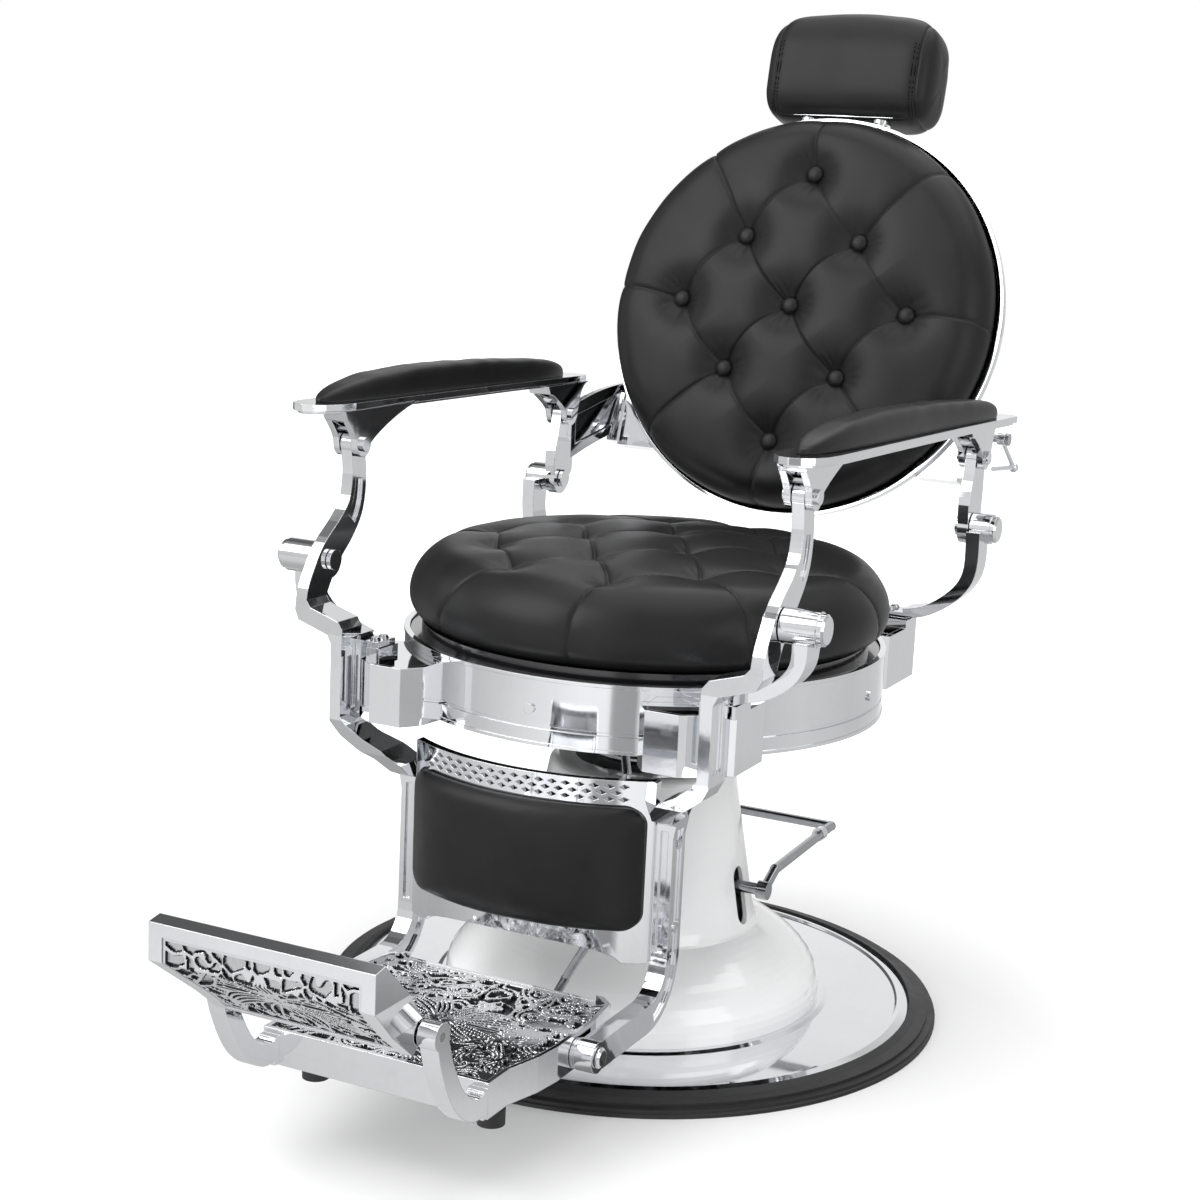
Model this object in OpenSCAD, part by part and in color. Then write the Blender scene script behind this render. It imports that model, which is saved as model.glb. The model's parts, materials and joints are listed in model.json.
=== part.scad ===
// Hydraulic barber chair with a round tufted seat and back, cast linkage levers and a flip footrest.
// Millimetres. Z is up, the sitter faces -Y and the sitter's left is +X.
// The origin is on the floor, on the axis of the hydraulic column.

/* [Base] */
// Outer radius of the rubber ring round the base
base_r = 375; // [340:1:400]
// Width of the rubber ring that shows outside the plate
rubber_w = 32; // [24:1:40]
// Height of the rubber ring
rubber_h = 19; // [16:0.5:22]
// Thickness of the rubber mat under the plate
lip_t = 4; // [2.5:0.5:6]
// Thickness of the steel base plate
plate_t = 15; // [12:0.5:18]
// Width of the bevel round the base plate
plate_bevel = 11; // [5:0.5:18]

/* [Pump] */
// Radius of the flange of the pump cover
bell_r = 231; // [215:1:245]
// Radius of the pump cover at its waist
waist_r = 152; // [148:1:160]
// Radius of the pump cover under its shoulder
neck_r = 114; // [108:1:120]
// Height of the top of the pump cover above the floor
bell_top = 304; // [296:1:304]
// Wall of the pump cover
bell_wall = 5; // [3:0.5:6]
// Radius of the hydraulic cylinder
cylinder_r = 48; // [44:1:52]
// Radius of the piston rod
rod_r = 34; // [28:1:38]
// Lift of the seat above its lowest place
lift = 150; // [100:5:160]

/* [Pump pedal] */
// Height of the pedal pivot above the floor
pedal_pivot_z = 150; // [140:1:156]
// Distance of the pedal pivot in front of the column axis
pedal_pivot_y = 85; // [78:1:88]
// Height of the cross shaft above the floor
shaft_z = 163; // [158:1:166]
// Half width of the foot bar
bar_half_w = 168; // [160:1:176]
// Distance of the foot bar behind the column axis
bar_y = 222; // [200:1:224]
// Height of the foot bar above the floor
bar_z = 186; // [180:1:190]
// Radius of the foot bar rod
bar_r = 6; // [4:0.5:8]

/* [Seat] */
// Radius of the round apron
apron_r = 287; // [280:1:292]
// Distance of the apron centre in front of the column axis
apron_y = 12; // [6:1:18]
// Height of the lower edge of the apron
apron_z = 384; // [380:1:390]
// Height of the apron band
apron_h = 77; // [70:1:84]
// Wall of the apron
apron_wall = 6; // [4:0.5:8]
// Radius of the seat cushion
seat_r = 279; // [262:1:284]
// Thickness of the seat cushion at its crown
seat_t = 106; // [80:1:120]
// Depth of the tufts in the seat cushion
seat_tuft = 13; // [4:1:18]

/* [Linkage] */
// Rear pivot of the back: distance behind the column axis
rear_pivot_y = 304; // [300:1:308]
// Rear pivot of the back: height
rear_pivot_z = 580; // [576:1:584]
// Front pivot of the leg levers: distance in front of the column axis
front_pivot_y = 285; // [282:1:288]
// Front pivot of the leg levers: height
front_pivot_z = 554; // [550:1:558]
// Rear armrest pin: distance behind the column axis
rear_pin_y = 310; // [306:1:314]
// Rear armrest pin: height
rear_pin_z = 668; // [664:1:672]
// Front armrest pin: distance in front of the column axis
front_pin_y = 236; // [233:1:239]
// Front armrest pin: height
front_pin_z = 682; // [678:1:686]
// Radius of the two main pivot pins
pivot_r = 8; // [6:0.5:10]
// Radius of the armrest pins
pin_r = 6; // [4:0.5:7]
// Radial clearance of a running pin
run_fit = 0.05; // [0.02:0.01:0.1]
// Radial play in the front armrest joint
play = 1.4; // [1.2:0.1:1.8]
// Thickness of the cast levers and arms
lever_t = 14; // [12:0.5:15]
// Depth of the cast levers from front to back
lever_w = 40; // [34:1:42]
// Depth of the recess in each lever face
recess = 3; // [1.5:0.5:4]

/* [Armrests] */
// Length of an armrest frame
arm_len = 700; // [680:5:710]
// Width of an armrest at the front
arm_w_front = 64; // [60:1:68]
// Width of an armrest at the rear
arm_w_rear = 46; // [44:1:54]
// Thickness of the armrest plate
arm_t = 11; // [8:0.5:13]
// Thickness of the armrest pad
arm_pad_t = 32; // [20:1:40]

/* [Back] */
// Recline of the back at rest, from upright
tilt = 17; // [14:0.5:18]
// Radius of the back cushion
back_r = 264; // [256:1:266]
// Thickness of the back cushion
back_t = 72; // [60:1:80]
// Depth of the tufts in the back cushion
back_tuft = 22; // [8:1:26]
// Height of the centre of the back
back_z = 833; // [829:1:837]
// Distance of the centre of the back behind the column axis
back_y = 388; // [384:1:392]
// Depth of the back shell
shell_d = 54; // [46:1:60]
// Wall of the back shell
shell_wall = 4; // [2.5:0.5:5]
// Spacing of the back buttons across
button_dx = 80; // [70:1:88]
// Spacing of the back buttons up the back
button_dz = 91; // [80:1:96]
// Radius of a back button
button_r = 12; // [8:0.5:14]

/* [Headrest] */
// Width of the headrest
head_w = 236; // [200:2:260]
// Height of the headrest
head_h = 136; // [100:2:150]
// Depth of the headrest
head_d = 92; // [70:2:100]
// Distance between the two headrest posts
post_gap = 104; // [80:2:130]
// Radius of a headrest post
post_r = 6; // [5:0.5:7]

/* [Leg rest] */
// Half distance between the inner faces of the calf levers
calf_half = 150; // [146:1:153]
// Width of a calf lever seen from the front
calf_w = 21; // [16:1:24]
// Depth of a calf lever from front to back
calf_d = 32; // [26:1:34]
// Height of the lower edge of the calf frame
calf_z = 169; // [165:1:175]
// Height of the calf frame
calf_h = 194; // [186:1:198]
// Height of the calf pad
pad_h = 138; // [120:1:142]
// Thickness of the calf pad
pad_t = 22; // [12:1:26]
// Forward bulge of the calf frame
calf_bulge = 45; // [38:1:50]

/* [Footrest] */
// Platform pivot: distance in front of the column axis
foot_pivot_y = 440; // [436:1:444]
// Platform pivot: height
foot_pivot_z = 109; // [107:1:113]
// Distance of the front edge of the platform in front of the column axis
platform_front = 602; // [590:1:606]
// Distance of the rear edge of the platform in front of the column axis
platform_rear = 334; // [332:1:340]
// Height of the platform floor
platform_z = 112; // [110:1:114]
// Height of the rim round the platform
platform_rim = 38; // [32:1:42]
// Flip footrest hinge: distance in front of the column axis
flip_y = 694; // [690:1:698]
// Flip footrest hinge: height
flip_z = 212; // [208:1:216]
// Half width of the flip footrest
flip_half = 124; // [116:1:128]
// Thickness of the flip footrest frame
flip_t = 8; // [6:0.5:9]
// Half distance between the inner faces of the footrest arms
foot_arm_half = 112; // [108:1:114]
// Width of a footrest arm seen from the front
foot_arm_w = 20; // [14:1:22]

/* [Hidden] */

$fn = 64;
e = 0.01;        // overshoot of a cut
seat_gap = 0.3;  // gap between a seated soft part and what carries it
knuckle = 1.08;  // ball radius at a bend of a rod, over the rod radius

// ---------- general shapes ----------

function arc(c, r, a0, a1, n) =
    [for (i = [0:n]) let (a = a0 + (a1 - a0) * i / n) [c[0] + r * cos(a), c[1] + r * sin(a)]];

function bezier(a, b, c, d, n) =
    [for (i = [0:n]) let (t = i / n, s = 1 - t)
        s * s * s * a + 3 * s * s * t * b + 3 * s * t * t * c + t * t * t * d];

function spline_point(a, b, c, d, t) =
    0.5 * (2 * b + (c - a) * t + (2 * a - 5 * b + 4 * c - d) * t * t
        + (3 * b - a - 3 * c + d) * t * t * t);

// A smooth curve through the points, with n steps between neighbours.
function smooth(p, n) = let (last = len(p) - 1)
    [for (i = [0:last - 1]) for (k = [0:n - 1])
        spline_point(p[max(i - 1, 0)], p[i], p[i + 1], p[min(i + 2, last)], k / n), p[last]];

function unit(v) = v / norm(v);
function side_of(p, i) = let (d = unit(p[min(i + 1, len(p) - 1)] - p[max(i - 1, 0)])) [-d[1], d[0]];

// The outline of a strip along the path p, whose width goes from w0 to w1.
function strip(p, w0, w1) = let (last = len(p) - 1) concat(
    [for (i = [0:last]) p[i] + side_of(p, i) * (w0 + (w1 - w0) * i / last) / 2],
    [for (i = [last:-1:0]) p[i] - side_of(p, i) * (w0 + (w1 - w0) * i / last) / 2]);

// The outline of a strip along the path p, whose points carry their own width: [a, b, width].
function ribbon(p) = let (q = [for (v = p) [v[0], v[1]]], last = len(p) - 1) concat(
    [for (i = [0:last]) q[i] + side_of(q, i) * p[i][2] / 2],
    [for (i = [last:-1:0]) q[i] - side_of(q, i) * p[i][2] / 2]);

// Draws a shape given in (Y, Z) and thickens it from x0 to x1.
module across_x(x0, x1) {
    translate([x0, 0, 0]) rotate([90, 0, 90]) linear_extrude(x1 - x0) children();
}

// Draws a shape given in (X, Z) and thickens it from y0 to y1.
module across_y(y0, y1) {
    translate([0, y1, 0]) rotate([90, 0, 0]) linear_extrude(y1 - y0) children();
}

// A cylinder along X at (y, z), from x0 to x1.
module bar_x(y, z, x0, x1, r) {
    translate([x0, y, z]) rotate([0, 90, 0]) cylinder(r = r, h = x1 - x0);
}

// A turned cap along X with a small round at its outer end.
module cap_x(y, z, x0, x1, r) {
    edge = 2.5;
    bar_x(y, z, x0, x1 - edge, r);
    translate([x1 - edge, y, z]) rotate([0, 90, 0]) cylinder(r1 = r, r2 = r - edge, h = edge);
}

module both_sides() {
    children();
    mirror([1, 0, 0]) children();
}

module on_side(left) {
    if (left) children();
    else mirror([1, 0, 0]) children();
}

// A round rod through the points, with a slightly fuller ball at each bend.
module bent_rod(p, r) {
    for (i = [0:len(p) - 2]) {
        d = p[i + 1] - p[i];
        translate(p[i]) rotate([0, acos(d[2] / norm(d)), atan2(d[1], d[0])]) cylinder(r = r, h = norm(d));
        if (i > 0) translate(p[i]) sphere(r = r * knuckle);
    }
}

// A closed soft form from rings of points: each ring has the same count of points.
module ring_skin(rings, bottom, top) {
    n = len(rings[0]);
    m = len(rings);
    points = concat([bottom], [for (ring = rings) each ring], [top]);
    polyhedron(points, concat(
        [for (j = [0:n - 1]) [0, 1 + j, 1 + (j + 1) % n]],
        [for (i = [0:m - 2]) for (j = [0:n - 1]) each [
            [1 + i * n + j, 1 + (i + 1) * n + j, 1 + (i + 1) * n + (j + 1) % n],
            [1 + i * n + j, 1 + (i + 1) * n + (j + 1) % n, 1 + i * n + (j + 1) % n]]],
        [for (j = [0:n - 1]) [1 + m * n, 1 + (m - 1) * n + (j + 1) % n, 1 + (m - 1) * n + j]]));
}

// ---------- base ----------

plate_edge_fit = 0.3;
plate_r = base_r - rubber_w - plate_edge_fit;
plate_top = lip_t + plate_t;
rubber_steps = 3;
step_in = 2.5;

plate_wall = 8;     // metal over the hollow of the plate
plate_core = 70;    // radius of the solid middle
plate_edge = 26;    // width of the solid rim

module base_ring() {
    step_h = rubber_h / (rubber_steps + 1);
    inner = base_r - rubber_w;
    color("#111111") rotate_extrude($fn = 160) polygon(concat(
        [[0, 0], [base_r, 0]],
        [for (i = [0:rubber_steps - 1]) each [
            [base_r - i * i * step_in, (i + 0.85) * step_h],
            [base_r - (i + 1) * (i + 1) * step_in, (i + 1.1) * step_h]]],
        [[inner, rubber_h], [inner, lip_t], [0, lip_t]]));
}

module base_plate() {
    rim_h = 2.5;
    land = 4;
    hollow_top = lip_t + plate_t - plate_wall;
    // The plate is solid under the pump and round its rim, and hollow between them.
    color("#d8dade") rotate_extrude($fn = 160) polygon([
        [0, lip_t], [plate_core, lip_t], [plate_core, hollow_top], [plate_r - plate_edge, hollow_top],
        [plate_r - plate_edge, lip_t], [plate_r, lip_t], [plate_r, plate_top - plate_bevel / 3],
        [plate_r - plate_bevel, plate_top], [plate_r - plate_bevel - land, plate_top],
        [plate_r - plate_bevel - land - rim_h, plate_top - rim_h], [bell_r + 12, plate_top - rim_h],
        [bell_r + 6, plate_top], [0, plate_top]]);
}

// ---------- pump ----------

waist_z = plate_top + 89;
bell_foot = 10;
shoulder = 12;
opening_r = 82;

function bell_outline(inset) = concat(
    [[bell_r - inset, plate_top]],
    bezier([bell_r - inset, plate_top + bell_foot], [bell_r - inset, plate_top + 43 - inset],
        [waist_r + 38 - inset, waist_z - 16 - inset], [waist_r - inset, waist_z - inset], 12),
    bezier([waist_r - inset, waist_z - inset], [waist_r - 6 - inset, waist_z + 3 - inset],
        [waist_r - 9 - inset, waist_z + 20], [waist_r - 13 - inset, waist_z + 42], 6),
    arc([neck_r - shoulder, bell_top - shoulder], shoulder - inset, 0, 90, 6),
    [[opening_r, bell_top - inset]]);

slot_w = 26;
slot_low = 34;   // how far the slot reaches below the cross shaft
slot_up = 10;    // and above it

module pump_cover() {
    outer = bell_outline(0);
    inner = bell_outline(bell_wall);
    color("#f4f4f2") difference() {
        rotate_extrude($fn = 120)
            polygon(concat(outer, [for (i = [len(inner) - 1:-1:0]) inner[i]]));
        both_sides() across_x(neck_r - 30, bell_r) {
            translate([0, shaft_z + slot_up]) circle(d = slot_w);
            translate([0, shaft_z - slot_low]) circle(d = slot_w);
            translate([-slot_w / 2, shaft_z - slot_low]) square([slot_w, slot_low + slot_up]);
        }
    }
}

cylinder_top = bell_top - 10;
flange_r = cylinder_r + 32;
flange_t = 12;
rod_foot = plate_top + 22;
bolt_circle = cylinder_r + 19;
bolt_r = 6;
bolt_fit = 0.1;
bolt_deep = 8;

module bolt_places(count, radius, start) {
    for (i = [0:count - 1]) rotate(start + 360 * i / count) translate([radius, 0, 0]) children();
}

module pump_cylinder() {
    color("#3c3f44") difference() {
        union() {
            translate([0, 0, plate_top]) cylinder(r = flange_r, h = flange_t);
            translate([0, 0, plate_top]) cylinder(r = cylinder_r, h = cylinder_top - plate_top);
        }
        translate([0, 0, rod_foot - 6]) cylinder(r = rod_r + run_fit, h = cylinder_top);
        bolt_places(4, bolt_circle, 45) translate([0, 0, plate_top + flange_t - bolt_deep])
            cylinder(r = bolt_r + bolt_fit, h = flange_t);
    }
}

module cylinder_bolts() {
    color("#9a9da2") bolt_places(4, bolt_circle, 45) {
        translate([0, 0, plate_top + flange_t - bolt_deep]) cylinder(r = bolt_r, h = bolt_deep);
        translate([0, 0, plate_top + flange_t]) cylinder(r = 10, h = 7, $fn = 6);
    }
}

module gland_nut() {
    color("#b9bcc1") translate([0, 0, cylinder_top]) difference() {
        cylinder(r = cylinder_r + 8, h = bell_top - cylinder_top, $fn = 8);
        translate([0, 0, -e]) cylinder(r = rod_r + run_fit, h = bell_top);
    }
}

yoke_x = 62;       // inner face of the pedal yoke arms
yoke_t = 8;
yoke_pin_r = 6;
shaft_r = 7;
bar_eye_r = 11;
bar_eye_w = 13;

module pedal_bracket() {
    color("#3c3f44") both_sides() difference() {
        across_x(yoke_x - 1 - yoke_t, yoke_x - 1) {
            translate([-pedal_pivot_y - 12, plate_top])
                square([24, pedal_pivot_z - plate_top]);
            translate([-pedal_pivot_y, pedal_pivot_z]) circle(r = 12);
        }
        bar_x(-pedal_pivot_y, pedal_pivot_z, 0, yoke_x, yoke_pin_r);
    }
}

module pedal_pivot_pin() {
    reach = yoke_x + yoke_t + 3;
    color("#9a9da2") bar_x(-pedal_pivot_y, pedal_pivot_z, -reach, reach, yoke_pin_r);
}

module pedal_yoke() {
    arm = [[-pedal_pivot_y, pedal_pivot_z], [0, shaft_z]];
    color("#7b7e84") both_sides() difference() {
        union() {
            across_x(yoke_x, yoke_x + yoke_t) {
                polygon(strip(arm, 18, 18));
                for (p = arm) translate(p) circle(r = 11);
            }
            bar_x(0, shaft_z, yoke_x, bar_half_w - bar_eye_w / 2 + 10, shaft_r);
        }
        bar_x(-pedal_pivot_y, pedal_pivot_z, 0, bell_r, yoke_pin_r + run_fit);
    }
}

module foot_bar() {
    rise = [bar_half_w, 34, shaft_z + 17];
    corner = [bar_half_w, bar_y, bar_z];
    color("#8d9096") {
        both_sides() difference() {
            union() {
                bar_x(0, shaft_z, bar_half_w - bar_eye_w / 2, bar_half_w + bar_eye_w / 2, bar_eye_r);
                bent_rod([[bar_half_w, 0, shaft_z], rise, corner, [0, bar_y, bar_z]], bar_r);
            }
            bar_x(0, shaft_z, 0, bar_half_w - bar_eye_w / 2 + 10, shaft_r);
        }
    }
}

module bar_collars() {
    collar_r = bar_r + 2.5;
    color("#c9ccd1") both_sides() difference() {
        translate([bar_half_w, bar_y - 46, bar_z]) rotate([-90, 0, 0]) cylinder(r = collar_r, h = 12);
        bent_rod([[bar_half_w, 34, shaft_z + 17], [bar_half_w, bar_y, bar_z]], bar_r);
    }
}

// ---------- column ----------

head_z = bell_top + 2;
head_r = 64;
head_t = 24;
head_socket = 12;
spigot_r = 22;
washer_t = 3;
hub_z = head_z + head_t + washer_t;
spigot_h = 66;

module piston_rod() {
    color("#c9ccd1") translate([0, 0, rod_foot]) cylinder(r = rod_r, h = head_z + head_socket - rod_foot);
}

module swivel_head() {
    color("#d8dade") difference() {
        union() {
            rotate_extrude($fn = 96) polygon([[0, head_z], [head_r - 8, head_z], [head_r, head_z + 6],
                [head_r, head_z + 12], [head_r - 8, head_z + head_t], [0, head_z + head_t]]);
            translate([0, 0, head_z]) cylinder(r = spigot_r, h = head_t + spigot_h);
        }
        translate([0, 0, head_z - e]) cylinder(r = rod_r, h = head_socket + e);
    }
}

module thrust_washer() {
    color("#b58a3c") translate([0, 0, head_z + head_t]) difference() {
        cylinder(r = head_r - 12, h = washer_t);
        translate([0, 0, -e]) cylinder(r = spigot_r, h = washer_t + 2 * e);
    }
}

// ---------- seat ----------

apron_top = apron_z + apron_h;
pan_z = apron_top - 20;
pan_edge = apron_top - 3;
pan_top = apron_top + 10;
pan_fit = 1;
pan_step = 14;       // how far the top of the pan stands in from the apron wall
frame_beam = 34;
hub_r = 44;
beam_w = 40;
ear_out = 240;       // half width over the ears
ear_front = 313;     // ear front face from the apron centre
ear_rear = 312;      // ear rear face from the apron centre
lever_x = 219;       // inner face of the levers beside the apron
lever_clear = 3;

// The ears of the apron that carry the brackets, drawn in by the inset, about the apron centre.
module apron_ears(inset) {
    both_sides() {
        linear_extrude(ear_h) polygon([
            [150, -ear_front + inset], [190, -ear_front + inset],
            [lever_x - 6 - inset, -ear_front + 17 + inset / 2],
            [lever_x - 6 - inset, -ear_front + 31 + inset], [ear_out - inset, -ear_front + 37 + inset],
            [ear_out - inset, -200], [200, -180], [128 + inset, -240],
            [134 + inset, -ear_front + 22 + inset]]);
        linear_extrude(ear_h) polygon([
            [150 + inset, ear_rear - inset], [228 - inset, ear_rear - inset],
            [ear_out - inset, ear_rear - 12 - inset], [ear_out - inset, 200], [200, 180], [128 + inset, 240],
            [134 + inset, ear_rear - 22 - inset]]);
    }
}

groove_z = apron_z + 19;
groove_h = 4;
groove_d = 2;
top_rim = 4;

ear_h = apron_h - 10;

module seat_apron() {
    color("#d8dade") translate([0, -apron_y, 0]) {
        difference() {
            union() {
                translate([0, 0, apron_z]) cylinder(r = apron_r, h = apron_h);
                translate([0, 0, apron_z]) apron_ears(0);
                // Rounded beads along the top and the bottom edge.
                for (z = [apron_z, apron_top - top_rim]) translate([0, 0, z])
                    cylinder(r = apron_r + 1.2, h = top_rim);
            }
            translate([0, 0, apron_z - e]) cylinder(r = apron_r - apron_wall, h = apron_h + 1);
            translate([0, 0, apron_z - e]) apron_ears(apron_wall);
            // A shallow groove round the band.
            translate([0, 0, groove_z]) difference() {
                cylinder(r = apron_r + 4, h = groove_h);
                translate([0, 0, -e]) cylinder(r = apron_r - groove_d, h = groove_h + 1);
            }
        }
        // Landings under the four brackets, over the ears.
        both_sides() {
            translate([land_in - 2, -ear_front + 32, apron_z + ear_h - 4])
                cube([ear_out - land_in + 2, 40, apron_h - ear_h + 4]);
            translate([land_in - 2, ear_rear - 52, apron_z + ear_h - 4])
                cube([ear_out - land_in + 2, 40, apron_h - ear_h + 4]);
        }
    }
}

link_x = 88;
link_top_y = -250;
link_top_z = pan_z - 21;
hanger_t = 4;
ear_t = 5;
link_r = 5;
link_eye_w = 9;
link_pin_r = 4;
inner_r = apron_r - apron_wall;

module seat_frame() {
    beam_z = pan_z - frame_beam;
    reach = inner_r - 4;
    color("#2c2e31") difference() {
        union() {
            translate([0, 0, hub_z]) cylinder(r = hub_r, h = pan_z - hub_z);
            intersection() {
                translate([0, -apron_y, beam_z]) cylinder(r = inner_r, h = frame_beam);
                union() {
                    translate([-apron_r, -apron_y - beam_w / 2, beam_z])
                        cube([2 * apron_r, beam_w, frame_beam]);
                    translate([-beam_w / 2, -apron_y - apron_r, beam_z])
                        cube([beam_w, 2 * apron_r, frame_beam]);
                }
            }
            translate([-link_x - 16, link_top_y - 12, pan_z - hanger_t])
                cube([2 * link_x + 32, 24, hanger_t]);
            for (x = [link_x - link_eye_w / 2 - 0.5 - ear_t, link_x + link_eye_w / 2 + 0.5])
                across_x(x, x + ear_t) {
                    translate([link_top_y, link_top_z]) circle(r = 10);
                    translate([link_top_y - 10, link_top_z]) square([20, pan_z - link_top_z]);
                }
        }
        translate([0, 0, hub_z - e]) cylinder(r = spigot_r + run_fit, h = spigot_h);
        bar_x(link_top_y, link_top_z, link_x - 20, link_x + 20, link_pin_r);
        // The beams are channels, open underneath.
        for (a = [0:90:270]) translate([0, -apron_y, 0]) rotate(a)
            translate([hub_r + 26, -beam_w / 2 + 4, beam_z - e])
                cube([reach - hub_r - 26 - 10, beam_w - 8, frame_beam - 6]);
    }
}

module link_upper_pin() {
    reach = link_eye_w / 2 + ear_t + 3;
    color("#9a9da2") bar_x(link_top_y, link_top_z, link_x - reach, link_x + reach, link_pin_r);
}

module seat_pan() {
    color("#151515") translate([0, -apron_y, 0]) {
        translate([0, 0, pan_z]) cylinder(r = inner_r - pan_fit, h = pan_edge - pan_z, $fn = 120);
        translate([0, 0, pan_edge]) cylinder(r = inner_r - pan_step, h = pan_top - pan_edge, $fn = 120);
    }
}

module apron_screws() {
    screw_z = pan_z - frame_beam / 2;
    color("#c9ccd1") translate([0, -apron_y, 0]) for (a = [0, 90, 180, 270])
        rotate(a) translate([apron_r, 0, screw_z]) rotate([0, 90, 0]) cylinder(r = 6, h = 3);
}

// Height of a quilted top: sum of the tuft dimples nearest to a point.
function tuft_sum(p, tufts, w) = len(tufts) == 0 ? 0
    : max([for (t = tufts) exp(-pow(norm(p - t) / w, 2))]);

seat_step = [70, 96];   // half spacing of the tufts across and along the seat
seat_tuft_back = 57;    // middle tuft behind the centre of the seat
seat_tufts = [for (i = [-3:3]) for (j = [-3:3])
    let (p = [i * seat_step[0], seat_tuft_back + j * seat_step[1]])
    if ((abs(i) + abs(j)) % 2 == 0 && norm(p) < seat_r * 0.72) p];

// Outline of the seat cushion from its foot over the bulging side to the crown, as (radius, height).
function cushion_side(r, h, n) = bezier([r - 14, 0], [r + 4, 4], [r + 6, h * 0.62], [r - 34, h * 0.84], n);

module seat_cushion() {
    rounds = 44;
    side = cushion_side(seat_r, seat_t, 7);
    edge = side[len(side) - 1];
    rings_in = 12;
    top = [for (i = [1:rings_in]) let (f = 1 - i / (rings_in + 1))
        [edge[0] * f, edge[1] + (seat_t - edge[1]) * (1 - pow(f, 2.2))]];
    outline = concat(side, top);
    color("#1b1b1c") translate([0, -apron_y + 7, pan_top + seat_gap]) ring_skin(
        [for (q = outline) [for (j = [0:rounds - 1]) let (a = -360 * j / rounds,
            p = [q[0] * cos(a), q[0] * sin(a)], high = min(1, max(0, (q[1] - seat_t * 0.4) / 30)))
            [p[0], p[1], q[1] - high * seat_tuft * tuft_sum(p, seat_tufts, 26)]]],
        [0, 0, 0], [0, 0, seat_t - seat_tuft * tuft_sum([0, 0], seat_tufts, 26)]);
}

// ---------- brackets and main pivots ----------

front_pivot = [-front_pivot_y, front_pivot_z];
rear_pivot = [rear_pivot_y, rear_pivot_z];
front_pin = [-front_pin_y, front_pin_z];
rear_pin = [rear_pin_y, rear_pin_z];
lever_in = 270;      // inner face of the leg levers at their pivot
arm_in = 285;        // inner face of the back arms
boss_end = 325;      // outer end of the pivot barrels
face_gap = 1;        // gap between faces that turn past each other
barrel_r = 19;
strap_t = 12;
strap_w = 36;
foot_t = 7;
land_in = 200;

module bracket(barrel_x, pivot, y0) {
    z0 = apron_top;
    mid = (barrel_x + boss_end) / 2;
    drop = pivot[1] - z0;
    run = smooth([[mid, pivot[1]], [mid, z0 + drop * 0.62], [mid - 10, z0 + drop * 0.40],
        [mid - 32, z0 + drop * 0.22], [mid - 56, z0 + 12], [land_in + 30, z0 + strap_t / 2]], 4);
    difference() {
        union() {
            bar_x(pivot[0], pivot[1], barrel_x, boss_end, barrel_r);
            across_y(y0, y0 + strap_w) intersection() {
                polygon(strip(run, strap_t + 6, strap_t));
                translate([0, z0]) square([boss_end + 10, drop + barrel_r]);
            }
            translate([land_in, y0, z0]) cube([34, strap_w, foot_t]);
        }
        bar_x(pivot[0], pivot[1], 0, 400, pivot_r);
        for (y = [y0 + 9, y0 + strap_w - 9]) translate([land_in + 10, y, z0 - e])
            cylinder(r = 3.2, h = foot_t + 1);
    }
}

front_bracket_y = -ear_front - apron_y + 33;
rear_bracket_y = ear_rear - apron_y - 38;

module front_bracket(left) {
    color("#d8dade") on_side(left) bracket(lever_in + lever_t + face_gap, front_pivot, front_bracket_y);
}

module rear_bracket(left) {
    color("#d8dade") on_side(left) bracket(arm_in + lever_t + face_gap, rear_pivot, rear_bracket_y);
}

module front_bracket_left() { front_bracket(true); }
module front_bracket_right() { front_bracket(false); }
module rear_bracket_left() { rear_bracket(true); }
module rear_bracket_right() { rear_bracket(false); }

module bracket_screws() {
    color("#c9ccd1") both_sides() for (y0 = [front_bracket_y, rear_bracket_y])
        for (y = [y0 + 9, y0 + strap_w - 9]) translate([land_in + 10, y, 0]) {
            translate([0, 0, apron_top]) cylinder(r = 3, h = foot_t);
            translate([0, 0, apron_top + foot_t]) cylinder(r1 = 6, r2 = 4.5, h = 3.5);
        }
}

module pin_pair(pivot, inner_face) {
    color("#e4e6ea") both_sides() {
        bar_x(pivot[0], pivot[1], inner_face - 1, boss_end + 1, pivot_r);
        bar_x(pivot[0], pivot[1], inner_face - 6, inner_face - 1, pivot_r + 4);
        cap_x(pivot[0], pivot[1], boss_end, boss_end + 8, barrel_r - 2);
    }
}

module pivot_pins() {
    pin_pair(front_pivot, lever_in);
    pin_pair(rear_pivot, arm_in);
}

// ---------- leg levers ----------

calf_y = -265;           // centre line of the calf part
calf_top_z = 318;
foot_pivot = [-foot_pivot_y, foot_pivot_z];
toe_w = 31;
joggle_z = 500;          // height where the lever starts to step inwards
beside_y = -319;         // centre line beside the apron
beside_top = 480;
beside_low = 386;

upper_path = smooth([front_pin, front_pin + [6, -34], front_pin + [1, -70], front_pin + [-18, -95],
    front_pivot + [0, 7], front_pivot + [-17, -16], front_pivot + [-27, -34], [-315, joggle_z + 4]], 5);
heel = foot_pivot_z + 56;
calf_path = concat([[calf_y, calf_top_z]], arc([calf_y - 56, heel], 56, 0, -90, 7), [foot_pivot]);

// Side view of a leg lever as [y, z, width].
lever_side = concat(
    [for (i = [0:len(upper_path) - 1]) let (f = i / (len(upper_path) - 1))
        [upper_path[i][0], upper_path[i][1], 26 + (lever_w - 26) * min(1, 1.6 * f)]],
    [[beside_y, beside_top, lever_w], [beside_y, beside_low, lever_w], [-308, 358, lever_w - 2],
        [-286, 336, calf_d + 4], [calf_y, calf_top_z, calf_d], [calf_y, heel, calf_d]],
    [for (i = [2:len(calf_path) - 1]) [calf_path[i][0], calf_path[i][1], toe_w]]);

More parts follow.
